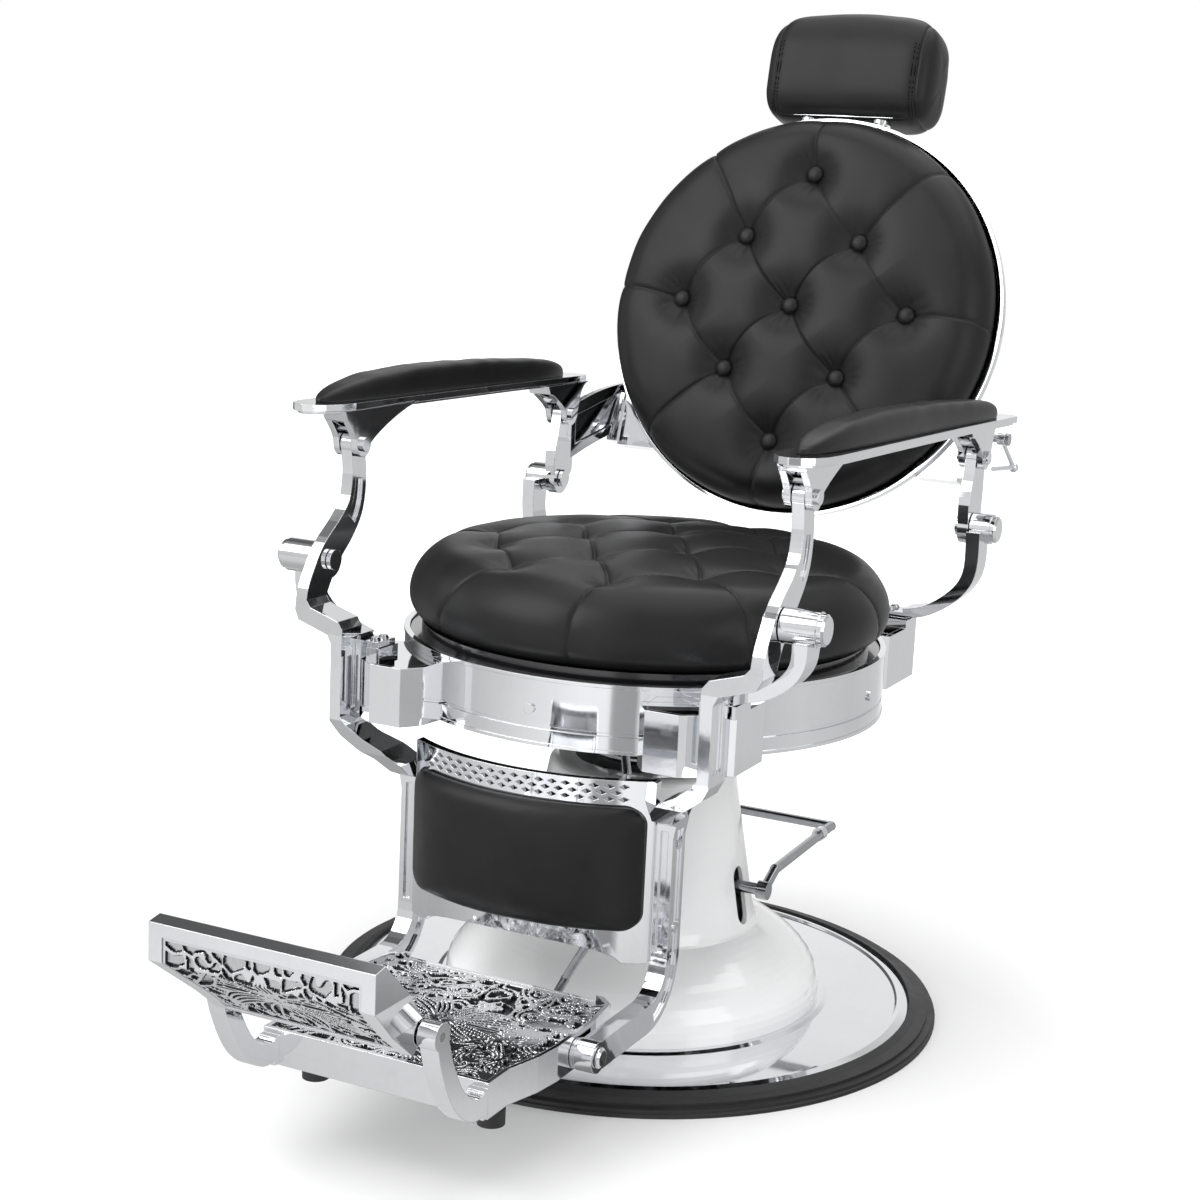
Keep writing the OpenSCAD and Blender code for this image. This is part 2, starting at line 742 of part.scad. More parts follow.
// Front view of a leg lever: the outer edge downwards, then the inner edge upwards.
function lever_front() = let (x1 = lever_in, x2 = lever_x, x3 = calf_half, t = lever_t,
        w = calf_w, jz = joggle_z, bl = beside_low, ct = calf_top_z) [
    [x1 + t, 720], [x1 + t, jz + 3], [x1 + t - 6, jz - 8], [x2 + t + 5, beside_top],
    [x2 + t, beside_top - 10], [x2 + t, bl - 5], [x2 + t - 10, bl - 21], [x2 - 14, bl - 35],
    [x3 + w + 16, ct + 22], [x3 + w + 4, ct + 4], [x3 + w, ct - 18], [x3 + w, 60],
    [x3, 60], [x3, ct - 6], [x3 + 5, ct + 17], [x3 + 22, ct + 35], [x2 - 26, bl - 22],
    [x2 - 7, bl - 7], [x2, bl + 2], [x2, beside_top + 7], [x2 + 7, jz - 4], [x1 - 6, jz + 7],
    [x1, jz + 14], [x1, 720]];

module leg_lever(left) {
    x1 = lever_in;
    x2 = lever_x;
    x3 = calf_half;
    far = 420;
    color("#d8dade") on_side(left) difference() {
        intersection() {
            union() {
                across_x(x3 - 5, x1 + lever_t + 5) polygon(ribbon(lever_side));
                bar_x(front_pin[0], front_pin[1], x1 - 5, x1 + lever_t + 5, 14);
                bar_x(front_pivot[0], front_pivot[1], x1 - 5, x1 + lever_t + 5, 22);
                bar_x(foot_pivot[0], foot_pivot[1], x3 - 5, x3 + calf_w + 5, toe_w / 2 + 1.5);
            }
            across_y(-500, -150) polygon(lever_front());
        }
        bar_x(front_pin[0], front_pin[1], 0, far, pin_r + play);
        bar_x(front_pivot[0], front_pivot[1], 0, far, pivot_r + run_fit);
        bar_x(foot_pivot[0], foot_pivot[1], 0, far, foot_pin_r + run_fit);
        // Recessed panels in the faces of the casting.
        for (x = [x1 - 5, x1 + lever_t - recess])
            across_x(x, x + recess + 5) polygon(strip([for (i = [6:13]) upper_path[i]], 14, 18));
        for (x = [x2 - 5, x2 + lever_t - recess])
            across_x(x, x + recess + 5) translate([beside_y - lever_w / 2 + 9, beside_low + 8])
                square([lever_w - 18, beside_top - beside_low - 20]);
        for (x = [x3 - 5, x3 + calf_w - recess])
            across_x(x, x + recess + 5) {
                polygon(strip([for (i = [1:7]) calf_path[i]], calf_d - 14, toe_w - 14));
                translate([calf_y - calf_d / 2 + 7, heel]) square([calf_d - 14, calf_top_z - heel - 8]);
            }
        translate([x3 + 6, calf_y - calf_d / 2 - 5, heel + 6])
            cube([calf_w - 12, recess + 5, calf_top_z - heel - 16]);
    }
}

module leg_lever_left() { leg_lever(true); }
module leg_lever_right() { leg_lever(false); }

// ---------- calf frame ----------

half_span = calf_half;
calf_face = calf_y - calf_d / 2 - 4;                   // front face of the frame at its sides
frame_t = 10;
calf_r = (half_span * half_span + calf_bulge * calf_bulge) / (2 * calf_bulge);
calf_centre = calf_face - calf_bulge + calf_r;
pad_z = calf_z + 27;
pad_half = half_span - 6;
board_t = 6;
pad_round = 20;

// A round-cornered upright window, cut or kept along Y.
module window_y(half, z0, z1, r) {
    across_y(-500, -150) {
        translate([-half + r, z0]) square([2 * (half - r), z1 - z0]);
        translate([-half, z0 + r]) square([2 * half, z1 - z0 - 2 * r]);
        for (x = [-half + r, half - r]) for (z = [z0 + r, z1 - r]) translate([x, z]) circle(r = r);
    }
}

module curved_wall(z0, z1, r0, r1) {
    translate([0, calf_centre, z0]) difference() {
        cylinder(r = r1, h = z1 - z0, $fn = 180);
        translate([0, 0, -e]) cylinder(r = r0, h = z1 - z0 + 1, $fn = 180);
    }
}

// Staggered rows of pointed openings, as in a traditional cast lattice.
module lattice(x0, x1, z0, z1, dx, dz, wide, tall) {
    rows = floor((z1 - z0) / dz);
    for (j = [0:rows]) for (x = [x0 + (j % 2) * dx / 2:dx:x1])
        translate([x, z0 + j * dz]) polygon([[-wide, 0], [0, -tall], [wide, 0], [0, tall]]);
}

module calf_frame() {
    band_z = pad_z + pad_h + 7;
    color("#d8dade") {
        difference() {
            intersection() {
                curved_wall(calf_z - 12, calf_z + calf_h, calf_r - frame_t, calf_r);
                window_y(half_span, calf_z - 12, calf_z + calf_h, 3);
            }
            // The lower edge rises towards the middle.
            across_y(-500, -150) polygon(concat(
                [[half_span - 22, calf_z - 20]],
                bezier([half_span - 26, calf_z - 12], [half_span - 34, calf_z + 16],
                    [-half_span + 34, calf_z + 16], [-half_span + 26, calf_z - 12], 12),
                [[-half_span + 22, calf_z - 20]]));
            window_y(pad_half - 9, pad_z + 9, pad_z + pad_h - 9, pad_round - 6);
            across_y(-500, -150)
                lattice(-120, 121, band_z + 1, band_z + 15, 15, 7, 5.5, 2.7);
        }
        // Side lugs that the levers are bolted to.
        both_sides() for (z = [calf_z + 14, calf_z + 110])
            translate([half_span - 12, calf_y - 9, z]) cube([12, 20, 24]);
    }
}

module calf_board() {
    color("#151515") intersection() {
        curved_wall(pad_z + 3, pad_z + pad_h - 3, calf_r - frame_t - board_t, calf_r - frame_t);
        window_y(pad_half - 8, pad_z + 3, pad_z + pad_h - 3, pad_round - 3);
    }
}

// A rounded rectangle as one loop of points: nx and nz steps along the sides, three at each corner.
function round_loop(hx, hz, r, nx, nz) = let (x = hx - r, z = hz - r) concat(
    arc([x, z], r, 0, 90, 3), [for (i = [1:nx - 1]) [x - 2 * x * i / nx, hz]],
    arc([-x, z], r, 90, 180, 3), [for (i = [1:nz - 1]) [-hx, z - 2 * z * i / nz]],
    arc([-x, -z], r, 180, 270, 3), [for (i = [1:nx - 1]) [-x + 2 * x * i / nx, -hz]],
    arc([x, -z], r, 270, 360, 3), [for (i = [1:nz - 1]) [hx, -z + 2 * z * i / nz]]);

module calf_pad() {
    rows = 6;
    mid_z = pad_z + pad_h / 2;
    back_face = calf_r + seat_gap + 0.45;   // the flat facets stay clear of the curved frame
    loop = round_loop(pad_half, pad_h / 2, pad_round, 10, 4);
    n = len(loop);
    color("#1b1b1c") ring_skin(
        [for (i = [1:2 * rows + 1]) let (front = i > rows, k = front ? 2 * rows + 1 - i : i,
                sq = k == 0 ? 0.06 : sin(90 * k / rows),
                rise = front ? pad_t * sqrt(1 - pow(0.985 * sq, 6)) : 0)
            [for (j = [0:n - 1]) let (x = loop[n - 1 - j][0] * sq)
                [x, calf_centre - sqrt(pow(back_face + rise, 2) - x * x),
                    mid_z + loop[n - 1 - j][1] * sq]]],
        [0, calf_centre - back_face, mid_z],
        [0, calf_centre - back_face - pad_t, mid_z]);
}

module calf_screws() {
    color("#c9ccd1") both_sides() for (z = [calf_z + 26, calf_z + 122])
        bar_x(calf_y, z, calf_half + calf_w - recess, calf_half + calf_w + 1, 5);
}

// ---------- footrest platform ----------

foot_pin_r = 7;
platform_half = calf_half - 3;
rim_t = 5;
floor_t = 7;
tread_t = 5;
link_foot = [-platform_rear + 3, foot_pivot_z - 5];
link_foot_x = 57;
link_foot_r = 11;
link_play = 3.9;  // radial play in the lower eye, which takes up the error of the linkage

function platform_plan(inset) = let (h = platform_half - inset, c = foot_arm_half + foot_arm_w - inset)
    [[-h + 27, -platform_rear - inset], [h - 27, -platform_rear - inset],
    [h - 6, -platform_rear - 20 - inset / 2], [h, -400], [h, -485], [h - 4, -520],
    [c, -562], [c, -platform_front + inset], [-c, -platform_front + inset],
    [-c, -562], [-h + 4, -520], [-h, -485], [-h, -400], [-h + 6, -platform_rear - 20 - inset / 2]];

module footrest_platform() {
    rim_z = platform_z - 18;
    color("#d8dade") difference() {
        union() {
            translate([0, 0, platform_z]) linear_extrude(floor_t) polygon(platform_plan(0));
            translate([0, 0, rim_z]) linear_extrude(platform_rim) difference() {
                polygon(platform_plan(0));
                polygon(platform_plan(rim_t));
            }
            both_sides() bar_x(foot_pivot[0], foot_pivot[1], platform_half - rim_t + 0.1,
                calf_half - 0.5, toe_w / 2);
            for (x = [link_foot_x - link_eye_w / 2 - 0.5 - ear_t, link_foot_x + link_eye_w / 2 + 0.5])
                across_x(x, x + ear_t) {
                    translate(link_foot) circle(r = 9);
                    translate([link_foot[0] - 20, link_foot[1] - 9]) square([20, 18]);
                }
        }
        both_sides() bar_x(foot_pivot[0], foot_pivot[1], platform_half - 30, 200, foot_pin_r);
        bar_x(link_foot[0], link_foot[1], link_foot_x - 20, link_foot_x + 20, link_pin_r + 0.02);
        // Room for the eye of the levelling link.
        translate([link_foot_x - link_eye_w / 2 - 0.5, link_foot[0] - link_foot_r - 4.5, 0])
            cube([link_eye_w + 1, 40, platform_z + floor_t - 1]);
        // The rear rim is low, so that the heel can slide off.
        translate([-200, -platform_rear - rim_t - 1, platform_z + floor_t + tread_t])
            cube([400, 40, 40]);
    }
}

// A traditional scroll medallion: rays and leaves round an oval, in the plane of the part.
module medallion(rx, ry, count) {
    for (i = [0:count - 1]) let (a = 360 * (i + 0.5) / count, c = [rx * cos(a), ry * sin(a)],
            d = [rx * cos(a), ry * sin(a)] / norm(c), n = [-d[1], d[0]])
        polygon([c * 1.25, c * 1.25 + d * 9 + n * 4.5, c * 1.25 + d * 20, c * 1.25 + d * 9 - n * 4.5]);
    difference() {
        scaled_ring(rx, ry, 1.0);
        scaled_ring(rx, ry, 0.72);
        rotate(30) square([4 * rx, 5], center = true);
        rotate(-30) square([4 * rx, 5], center = true);
    }
}

module scaled_ring(rx, ry, f) {
    polygon([for (i = [0:35]) let (a = 10 * i) [rx * f * cos(a), ry * f * sin(a)]]);
}

module tread_pattern(half, s0, s1) {
    mid = (s0 + s1) / 2;
    rx = 34;
    ry = 17;
    medallion(rx, ry, 14);
    difference() {
        for (x = [-half + 12:24:half - 10]) for (s = [s0 + 10:18:s1 - 8])
            let (odd = round((s - s0 - 10) / 18) % 2, px = x + odd * 12)
                if (px < half - 9) translate([px, s - mid])
                    polygon([[-8, -2.2], [1.6, -6], [8, 2.2], [-1.6, 6]]);
        scaled_ring(rx + 28, ry + 24, 1);
    }
}

module tread_plate() {
    rear = -platform_rear - rim_t - 8;
    front = -platform_front + rim_t + 0.3;
    inner = platform_plan(rim_t + 0.3);
    color("#bfc2c7") translate([0, 0, platform_z + floor_t]) linear_extrude(tread_t) difference() {
        polygon(inner);
        translate([0, (rear + front) / 2]) tread_pattern(platform_half - 34, front + 4, rear - 4);
    }
}

module bumper_feet() {
    top = platform_z;
    color("#111111") both_sides() translate([platform_half - 42, -545, 0]) {
        translate([0, 0, top - 32]) cylinder(r = 13, h = 32);
        translate([0, 0, top - 50]) cylinder(r = 14.5, h = 18);
    }
}

module platform_pins() {
    color("#e4e6ea") both_sides() {
        bar_x(foot_pivot[0], foot_pivot[1], platform_half - 16, calf_half + calf_w + 1, foot_pin_r);
        cap_x(foot_pivot[0], foot_pivot[1], calf_half + calf_w + 1, calf_half + calf_w + 5, foot_pin_r + 4);
    }
    color("#9a9da2") bar_x(link_foot[0], link_foot[1], link_foot_x - link_eye_w / 2 - ear_t - 2,
        link_foot_x + link_eye_w / 2 + ear_t + 2, link_pin_r);
}

module levelling_link() {
    top = [link_x, link_top_y, link_top_z];
    foot = [link_foot_x, link_foot[0], link_foot[1]];
    color("#8d9096") difference() {
        union() {
            bar_x(link_top_y, link_top_z, link_x - link_eye_w / 2, link_x + link_eye_w / 2, 9);
            bar_x(link_foot[0], link_foot[1], link_foot_x - link_eye_w / 2,
                link_foot_x + link_eye_w / 2, link_foot_r);
            bent_rod([top, [link_x, -230, 350], [84, -286, 178], [link_foot_x, -297, 124], foot], link_r);
        }
        bar_x(link_top_y, link_top_z, 0, 200, link_pin_r + run_fit);
        bar_x(link_foot[0], link_foot[1], 0, 200, link_pin_r + link_play);
    }
}

// ---------- footrest arms and flip footrest ----------

flip_axis = [-flip_y, flip_z];
flip_block_r = 14;
arm_path = smooth([flip_axis, flip_axis + [12, -36], flip_axis + [35, -76], flip_axis + [66, -99],
    flip_axis + [98, -98], [-574, platform_z + 2], [-552, platform_z + 2]], 5);

module footrest_arms() {
    x0 = foot_arm_half;
    color("#d8dade") both_sides() difference() {
        union() {
            across_x(x0, x0 + foot_arm_w) difference() {
                union() {
                    polygon(strip(arm_path, 20, 24));
                    translate(flip_axis) circle(r = flip_block_r);
                }
                translate([-platform_front, platform_z - 18 - 60]) square([200, 60 + 18 + platform_rim]);
            }
            across_x(x0, x0 + foot_arm_w) translate([-platform_front - 8, platform_z - 16])
                square([8, 30]);
        }
        bar_x(flip_axis[0], flip_axis[1], x0 - 1, x0 + foot_arm_w + 1, flip_pin_r);
    }
}

flip_pin_r = 5;
flip_top = [-flip_y - 107, flip_z + 90];
flip_bend = [-flip_y - 107, flip_z + 56];
flip_low = [-flip_y - 18, flip_z - 17];
flip_lip = [-flip_y - 90, flip_z + 97];
slope = atan2(flip_bend[1] - flip_low[1], flip_low[0] - flip_bend[0]);

// Profile of the flip footrest: a lip at the top, a short upright face and a long sloping face.
function flip_profile(t, back) = [
    flip_lip + [0, -back], flip_top + [0, 4 - back * 0.2] + [back, 0], flip_bend + [back, 0],
    flip_low + [back * 0.64, back * 0.76], flip_low + [(back + t) * 0.64, (back + t) * 0.76],
    flip_bend + [back + t, t * 0.4], flip_top + [back + t, -t * 0.6], flip_lip + [0, -t - back]];

// Front outline of the flip footrest, drawn in by the inset: it narrows towards the hinge.
function flip_front(inset) = let (w = flip_half - inset, n = foot_arm_half - 1.5 - inset) [
    [w, flip_z + 120], [w, flip_bend[1]], [n, flip_z + 12], [n, flip_z - 40],
    [-n, flip_z - 40], [-n, flip_z + 12], [-w, flip_bend[1]], [-w, flip_z + 120]];

flip_bar = 15;      // width of the border that shows round the insert
flip_plate = 6;     // thickness of the side plates

module flip_frame() {
    lug_w = 11;
    lug_out = foot_arm_half - 1.5;
    color("#d8dade") difference() {
        union() {
            intersection() {
                across_y(flip_lip[0] - 60, flip_axis[0] + 40) polygon(flip_front(0));
                union() {
                    difference() {
                        across_x(-flip_half, flip_half) polygon(flip_profile(flip_t, 0));
                        // The opening that the pierced insert fills.
                        intersection() {
                            across_y(flip_lip[0] - 60, flip_axis[0] + 40) polygon(flip_front(flip_bar));
                            across_x(-flip_half, flip_half) polygon([
                                flip_top + [-20, -9], flip_top + [40, -9], flip_low + [40, 16],
                                flip_low + [0, 8], flip_low + [-40, -10]]);
                        }
                    }
                    // A deep bar along the top.
                    across_x(-flip_half, flip_half) polygon([flip_top + [2, 4], flip_top + [2, -9],
                        flip_top + [16, -9], flip_lip + [3, -6], flip_lip]);
                    // Side plates, straight along the rear from the top bar to the hinge.
                    difference() {
                        across_x(-flip_half, flip_half) polygon([flip_lip, flip_top + [2, 0],
                            flip_bend + [2, 1], flip_low + [2, 1], flip_low + [10, 5],
                            flip_axis + [3, 10], flip_lip + [3, -4]]);
                        across_y(flip_lip[0] - 60, flip_axis[0] + 40) polygon(flip_front(flip_plate));
                    }
                }
            }
            both_sides() across_x(lug_out - lug_w, lug_out) {
                translate(flip_axis) circle(r = 11);
                polygon([flip_axis + [-3, -11], flip_axis + [-17, -9], flip_axis + [-26, 12],
                    flip_axis + [-2, 11]]);
            }
        }
        bar_x(flip_axis[0], flip_axis[1], -200, 200, flip_pin_r + run_fit);
    }
}

module flip_insert() {
    half = flip_half - flip_bar - 0.3;
    span = norm(flip_low - flip_bend);
    color("#bfc2c7") difference() {
        intersection() {
            across_y(flip_lip[0] - 60, flip_axis[0] + 40) polygon(flip_front(flip_bar + 0.3));
            across_x(-half, half) polygon(flip_profile(4, 2.5));
            across_x(-half, half) polygon([
                flip_top + [-20, -9.3], flip_top + [40, -9.3], flip_low + [40, 16],
                flip_low + [0.3, 8.3], flip_low + [-40, -9.7]]);
        }
        translate([0, flip_low[0], flip_low[1]]) rotate([180 - slope, 0, 0])
            translate([0, span / 2 + 4, -20]) linear_extrude(32)
                tread_pattern(half - 13, -span / 2 + 5, span / 2 - 5);
        across_y(-850, -700)
            lattice(-half + 12, half - 10, flip_bend[1] + 9, flip_bend[1] + 18, 14, 8, 5.5, 3);
    }
}

module flip_pins() {
    color("#9a9da2") both_sides() bar_x(flip_axis[0], flip_axis[1], foot_arm_half - 14,
        foot_arm_half + foot_arm_w, flip_pin_r);
}

// ---------- back ----------

// Places a part that is drawn with the back upright: X across, Y to the rear, Z up the back.
module on_back() {
    translate([0, back_y, back_z]) rotate([-tilt, 0, 0]) children();
}

crown = 15;
cushion_rear = back_t - crown;
shell_front = cushion_rear + seat_gap;
shell_rear = shell_front + shell_d;
shell_r = back_r + 10;
board_r = back_r - 9;
pad_lug_x = 245.7;

// Turns a profile of (radius, distance to the rear) about the axis of the round back.
module turned_back() {
    rotate([-90, 0, 0]) rotate_extrude($fn = 160) children();
}

function shell_curve(inset) = concat(
    [[shell_r - inset, shell_front]],
    bezier([shell_r - inset, shell_front + 6], [shell_r - inset, shell_rear - 16 - inset],
        [shell_r - 22, shell_rear - 6 - inset], [shell_r - 62, shell_rear - 3 - inset], 9),
    [[0, shell_rear - inset]]);

lug_z = [-200, -128];
lug_y = [66, 98];

module back_shell() {
    outer = shell_curve(0);
    inner = shell_curve(shell_wall);
    post_y = head_post_y;
    color("#e2e4e8") on_back() difference() {
        union() {
            turned_back() polygon(concat(outer, [for (i = [len(inner) - 1:-1:0]) inner[i]]));
            // Flat pads that the two back arms are bolted to.
            both_sides() difference() {
                translate([190, lug_y[0], lug_z[0]]) cube([pad_lug_x - 190, lug_y[1] - lug_y[0],
                    lug_z[1] - lug_z[0]]);
                turned_back() polygon(concat(
                    [[0, shell_front - 9], [shell_r - shell_wall / 2, shell_front - 9]],
                    shell_curve(shell_wall / 2)));
            }
        }
        for (x = [-post_gap / 2, post_gap / 2]) translate([x, post_y, 0])
            cylinder(r = guide_r + 0.1, h = 400);
    }
}

module back_board() {
    color("#151515") on_back() difference() {
        turned_back() polygon([[0, shell_front], [board_r, shell_front], [board_r, shell_front + 12],
            [0, shell_front + 12]]);
    }
}

buttons = [for (i = [-2:2]) for (j = [-2:2]) let (p = [i * button_dx, j * button_dz])
    if (abs(i) + abs(j) <= 2 && (i + j) % 2 == 0) p];

// Depth of the quilting of the back at a point of its face.
function back_depth(p) = back_tuft * tuft_sum(p, buttons, 27);

face_in = 26;                                     // how far the side curve draws in
face_drop = crown - back_t * 0.22;                // front plane to where the side curve ends
face_edge = [back_r - face_in, -face_drop];
// Distance of the front face at radius r, before the tufts, to the rear.
function face_y(r) = -crown + (crown - face_drop) * pow(min(1, r / face_edge[0]), 2.4);
pocket = 0.6;                                     // depth of a button pocket below the tuft

module back_cushion() {
    rounds = 44;
    side = bezier([back_r - 8, cushion_rear], [back_r + 3, cushion_rear - 6],
        [back_r + 4, cushion_rear - back_t * 0.55], face_edge, 6);
    rings_in = 14;
    face = [for (i = [1:rings_in]) let (r = face_edge[0] * (1 - i / (rings_in + 1))) [r, face_y(r)]];
    color("#1b1b1c") on_back() difference() {
        ring_skin(
            [for (q = concat(side, face)) [for (j = [0:rounds - 1]) let (a = 360 * j / rounds,
                p = [q[0] * cos(a), q[0] * sin(a)], soft = min(1, max(0, (cushion_rear - 12 - q[1]) / 30)))
                [p[0], q[1] + soft * back_depth(p), p[1]]]],
            [0, cushion_rear, 0], [0, face_y(0) + back_depth([0, 0]), 0]);
        for (p = buttons) translate([p[0], 0, p[1]]) rotate([90, 0, 0])
            translate([0, 0, -face_y(norm(p)) - back_tuft - pocket])
                cylinder(r = button_r + seat_gap, h = back_t);
    }
}

module back_buttons() {
    color("#1b1b1c") on_back() for (p = buttons) translate([p[0], 0, p[1]]) rotate([90, 0, 0])
        translate([0, 0, -face_y(norm(p)) - back_tuft - pocket + seat_gap]) {
            cylinder(r = button_r, h = 4);
            translate([0, 0, 4]) cylinder(r1 = button_r, r2 = button_r * 0.6, h = 4);
        }
}

web_t = 10;
arm_pad_w = 16;
arm_tail = [251, 424];   // plan position (X, Y) where the web meets the back shell

module back_arm(left) {
    root = [arm_in + lever_t / 2, rear_pin_y + 14];
    d = arm_tail - root;
    reach = norm(d);
    upright = smooth([rear_pivot, rear_pivot + [-6, 30], rear_pin + [-6, -32], rear_pin], 4);
    color("#d8dade") on_side(left) difference() {
        union() {
            across_x(arm_in, arm_in + lever_t) {
                polygon(strip(upright, 38, 26));
                translate(rear_pivot) circle(r = 21);
                translate(rear_pin) circle(r = 14);
                polygon([rear_pivot + [6, -14], rear_pivot + [30, 8], rear_pin + [26, -44],
                    rear_pin + [24, 8], rear_pin + [4, 13], rear_pivot + [-2, 10]]);
            }
            // The web that runs back and inwards to the shell.
            translate([root[0], root[1], 0]) rotate(atan2(d[1], d[0])) difference() {
                translate([0, web_t / 2, 0]) rotate([90, 0, 0]) linear_extrude(web_t) polygon(concat(
                    bezier([0, rear_pivot_z + 22], [26, rear_pivot_z + 34], [60, rear_pivot_z + 52],
                        [reach, rear_pivot_z + 62], 8),
                    bezier([reach, rear_pin_z + 38], [66, rear_pin_z + 34], [30, rear_pin_z + 22],
                        [0, rear_pin_z + 6], 8)));
                for (s = [-1, 1]) translate([0, s * (web_t / 2 - recess / 2 + e), 0])
                    translate([0, recess / 2, 0]) rotate([90, 0, 0]) linear_extrude(recess)
                        polygon([[14, rear_pivot_z + 44], [reach - 16, rear_pivot_z + 72],
                            [reach - 16, rear_pin_z + 24], [14, rear_pin_z - 4]]);
            }
            // The pad on the side of the shell.
            intersection() {
                translate([pad_lug_x, 0, 0]) cube([40, 800, 1200]);
                on_back() translate([0, lug_y[0] - 4, lug_z[0] + 4])
                    cube([pad_lug_x + arm_pad_w, lug_y[1] - lug_y[0] + 4, lug_z[1] - lug_z[0] - 4]);
            }
        }
        bar_x(rear_pivot[0], rear_pivot[1], 0, 400, pivot_r + run_fit);
        bar_x(rear_pin[0], rear_pin[1], 0, 400, pin_r + run_fit);
        translate([-e, 0, 0]) cube([pad_lug_x + e, 900, 1200]);
        // Clear of the round shell above the pad.
        on_back() turned_back() square([shell_r + 0.5, shell_rear + 40]);
        if (left) bar_x(handle_axis[0], handle_axis[1], 200, 400, handle_pin_r);
    }
}

module back_arm_left() { back_arm(true); }
module back_arm_right() { back_arm(false); }

module back_arm_bolts() {
    color("#c9ccd1") both_sides() on_back() for (z = [lug_z[0] + 20, lug_z[1] - 16])
        translate([pad_lug_x + arm_pad_w, lug_y[1] - 10, z]) rotate([0, 90, 0])
            cylinder(r = 6, h = 4);
}

// ---------- headrest ----------

guide_r = 9;
head_post_y = 88;
head_bottom = 287;
guide_low = 120;

module headrest_guides() {
    color("#c9ccd1") on_back() for (x = [-post_gap / 2, post_gap / 2]) translate([x, head_post_y, 0])
        difference() {
            union() {
                translate([0, 0, guide_low]) cylinder(r = guide_r, h = head_bottom - 7 - guide_low);
                translate([0, 0, shell_r + 2]) cylinder(r = guide_r + 4, h = 5);
                translate([-10, shell_front + 12 - head_post_y, guide_low + 10])
                    cube([20, head_post_y - shell_front - 12, 40]);
            }
            translate([0, 0, guide_low - e]) cylinder(r = post_r + run_fit, h = 300);
        }
}

module headrest_posts() {
    color("#d8dade") on_back() {
        for (x = [-post_gap / 2, post_gap / 2]) translate([x, head_post_y, guide_low + 10])
            cylinder(r = post_r, h = head_bottom - guide_low - 14);
        translate([-post_gap / 2 - 20, head_post_y - 14, head_bottom - 4])
            cube([post_gap + 40, 28, 4]);
    }
}

module headrest_pad() {
    rounds = 36;
    rows = 11;
    cy = head_post_y + 12;
    color("#1b1b1c") on_back() translate([0, cy, head_bottom + seat_gap]) ring_skin(
        [for (i = [0:rows]) let (f = i / rows, z = head_h * f,
                fat = 1 - 0.16 * pow(abs(2 * f - 0.9), 3) - (i == rows ? 0.12 : 0))
            [for (j = [0:rounds - 1]) let (a = -360 * j / rounds,
                    u = pow(abs(cos(a)), 0.42) * sign(cos(a)), v = pow(abs(sin(a)), 0.5) * sign(sin(a)))
                [u * head_w / 2 * fat, v * head_d / 2 * fat - 6 * f,
                    z - (f > 0.5 ? 18 * u * u * (f - 0.5) : 0)]]],
        [0, 0, 0], [0, -6, head_h + 3]);
}

// ---------- armrests ----------

arm_slope = -1.2;
arm_plate_z = 714;
arm_front = -front_pin_y - 84;
arm_mid_front = 291;
arm_mid_rear = 306;

function arm_line(f) = arm_mid_front + (arm_mid_rear - arm_mid_front) * f;
function arm_half(f) = (arm_w_front + (arm_w_rear - arm_w_front) * min(1, f * 1.5)) / 2
    * (f < 0.09 ? sqrt(1 - pow(1 - f / 0.09, 2.2)) : 1)
    * (f > 0.97 ? sqrt(1 - pow((f - 0.97) / 0.032, 2)) : 1);

// Plan of the armrest, drawn in by the inset.
function arm_plan(inset, n) = let (f0 = inset / arm_len, f1 = 1 - inset / arm_len,
        steps = [for (i = [0:n]) (1 - cos(180 * i / n)) / 2])
    concat(
        [for (f = steps) [arm_line(f) - max(0.8, arm_half(f) - inset),
            arm_front + arm_len * (f0 + (f1 - f0) * f)]],
        [for (i = [n:-1:0]) let (f = steps[i])
            [arm_line(f) + max(0.8, arm_half(f) - inset), arm_front + arm_len * (f0 + (f1 - f0) * f)]]);

ear_w = 8;

module clevis(pin, x0, gap, y0, y1, hook) {
    top = arm_plate_z - tan(-arm_slope) * pin[0] + 3;
    for (x = [x0 - face_gap - ear_w, x0 + gap + face_gap]) across_x(x, x + ear_w) {
        translate(pin) circle(r = 15);
        polygon(concat(
            bezier(pin + [-15, 0], pin + [-15, 14], [y0 + 4, top - 12], [y0, top], 6),
            bezier([y1, top], [y1 - 30, top - 3], pin + [hook, 14], pin + [15, 0], 8)));
    }
    across_x(x0 - face_gap - ear_w, x0 + gap + face_gap + ear_w) polygon(concat(
        [[y0, top], [y0 + 6, top - 11], [pin[0] - 10, pin[1] + 19], [pin[0] + 10, pin[1] + 19]],
        bezier([pin[0] + 16, pin[1] + 22], pin + [hook, 28], [y1 - 30, top - 3], [y1, top], 6)));
}

module armrest(left) {
    color("#d8dade") on_side(left) difference() {
        union() {
            translate([0, 0, arm_plate_z]) rotate([arm_slope, 0, 0]) {
                translate([0, 0, 3]) linear_extrude(arm_t - 3) polygon(arm_plan(0, 20));
                linear_extrude(3) polygon(arm_plan(4, 20));
            }
            clevis(front_pin, lever_in, lever_t, -front_pin_y - 40, -front_pin_y + 120, 34);
            clevis(rear_pin, arm_in, lever_t, rear_pin_y - 70, rear_pin_y + 50, 24);
        }
        for (p = [front_pin, rear_pin]) bar_x(p[0], p[1], 200, 400, pin_r);
    }
}

module armrest_left() { armrest(true); }
module armrest_right() { armrest(false); }

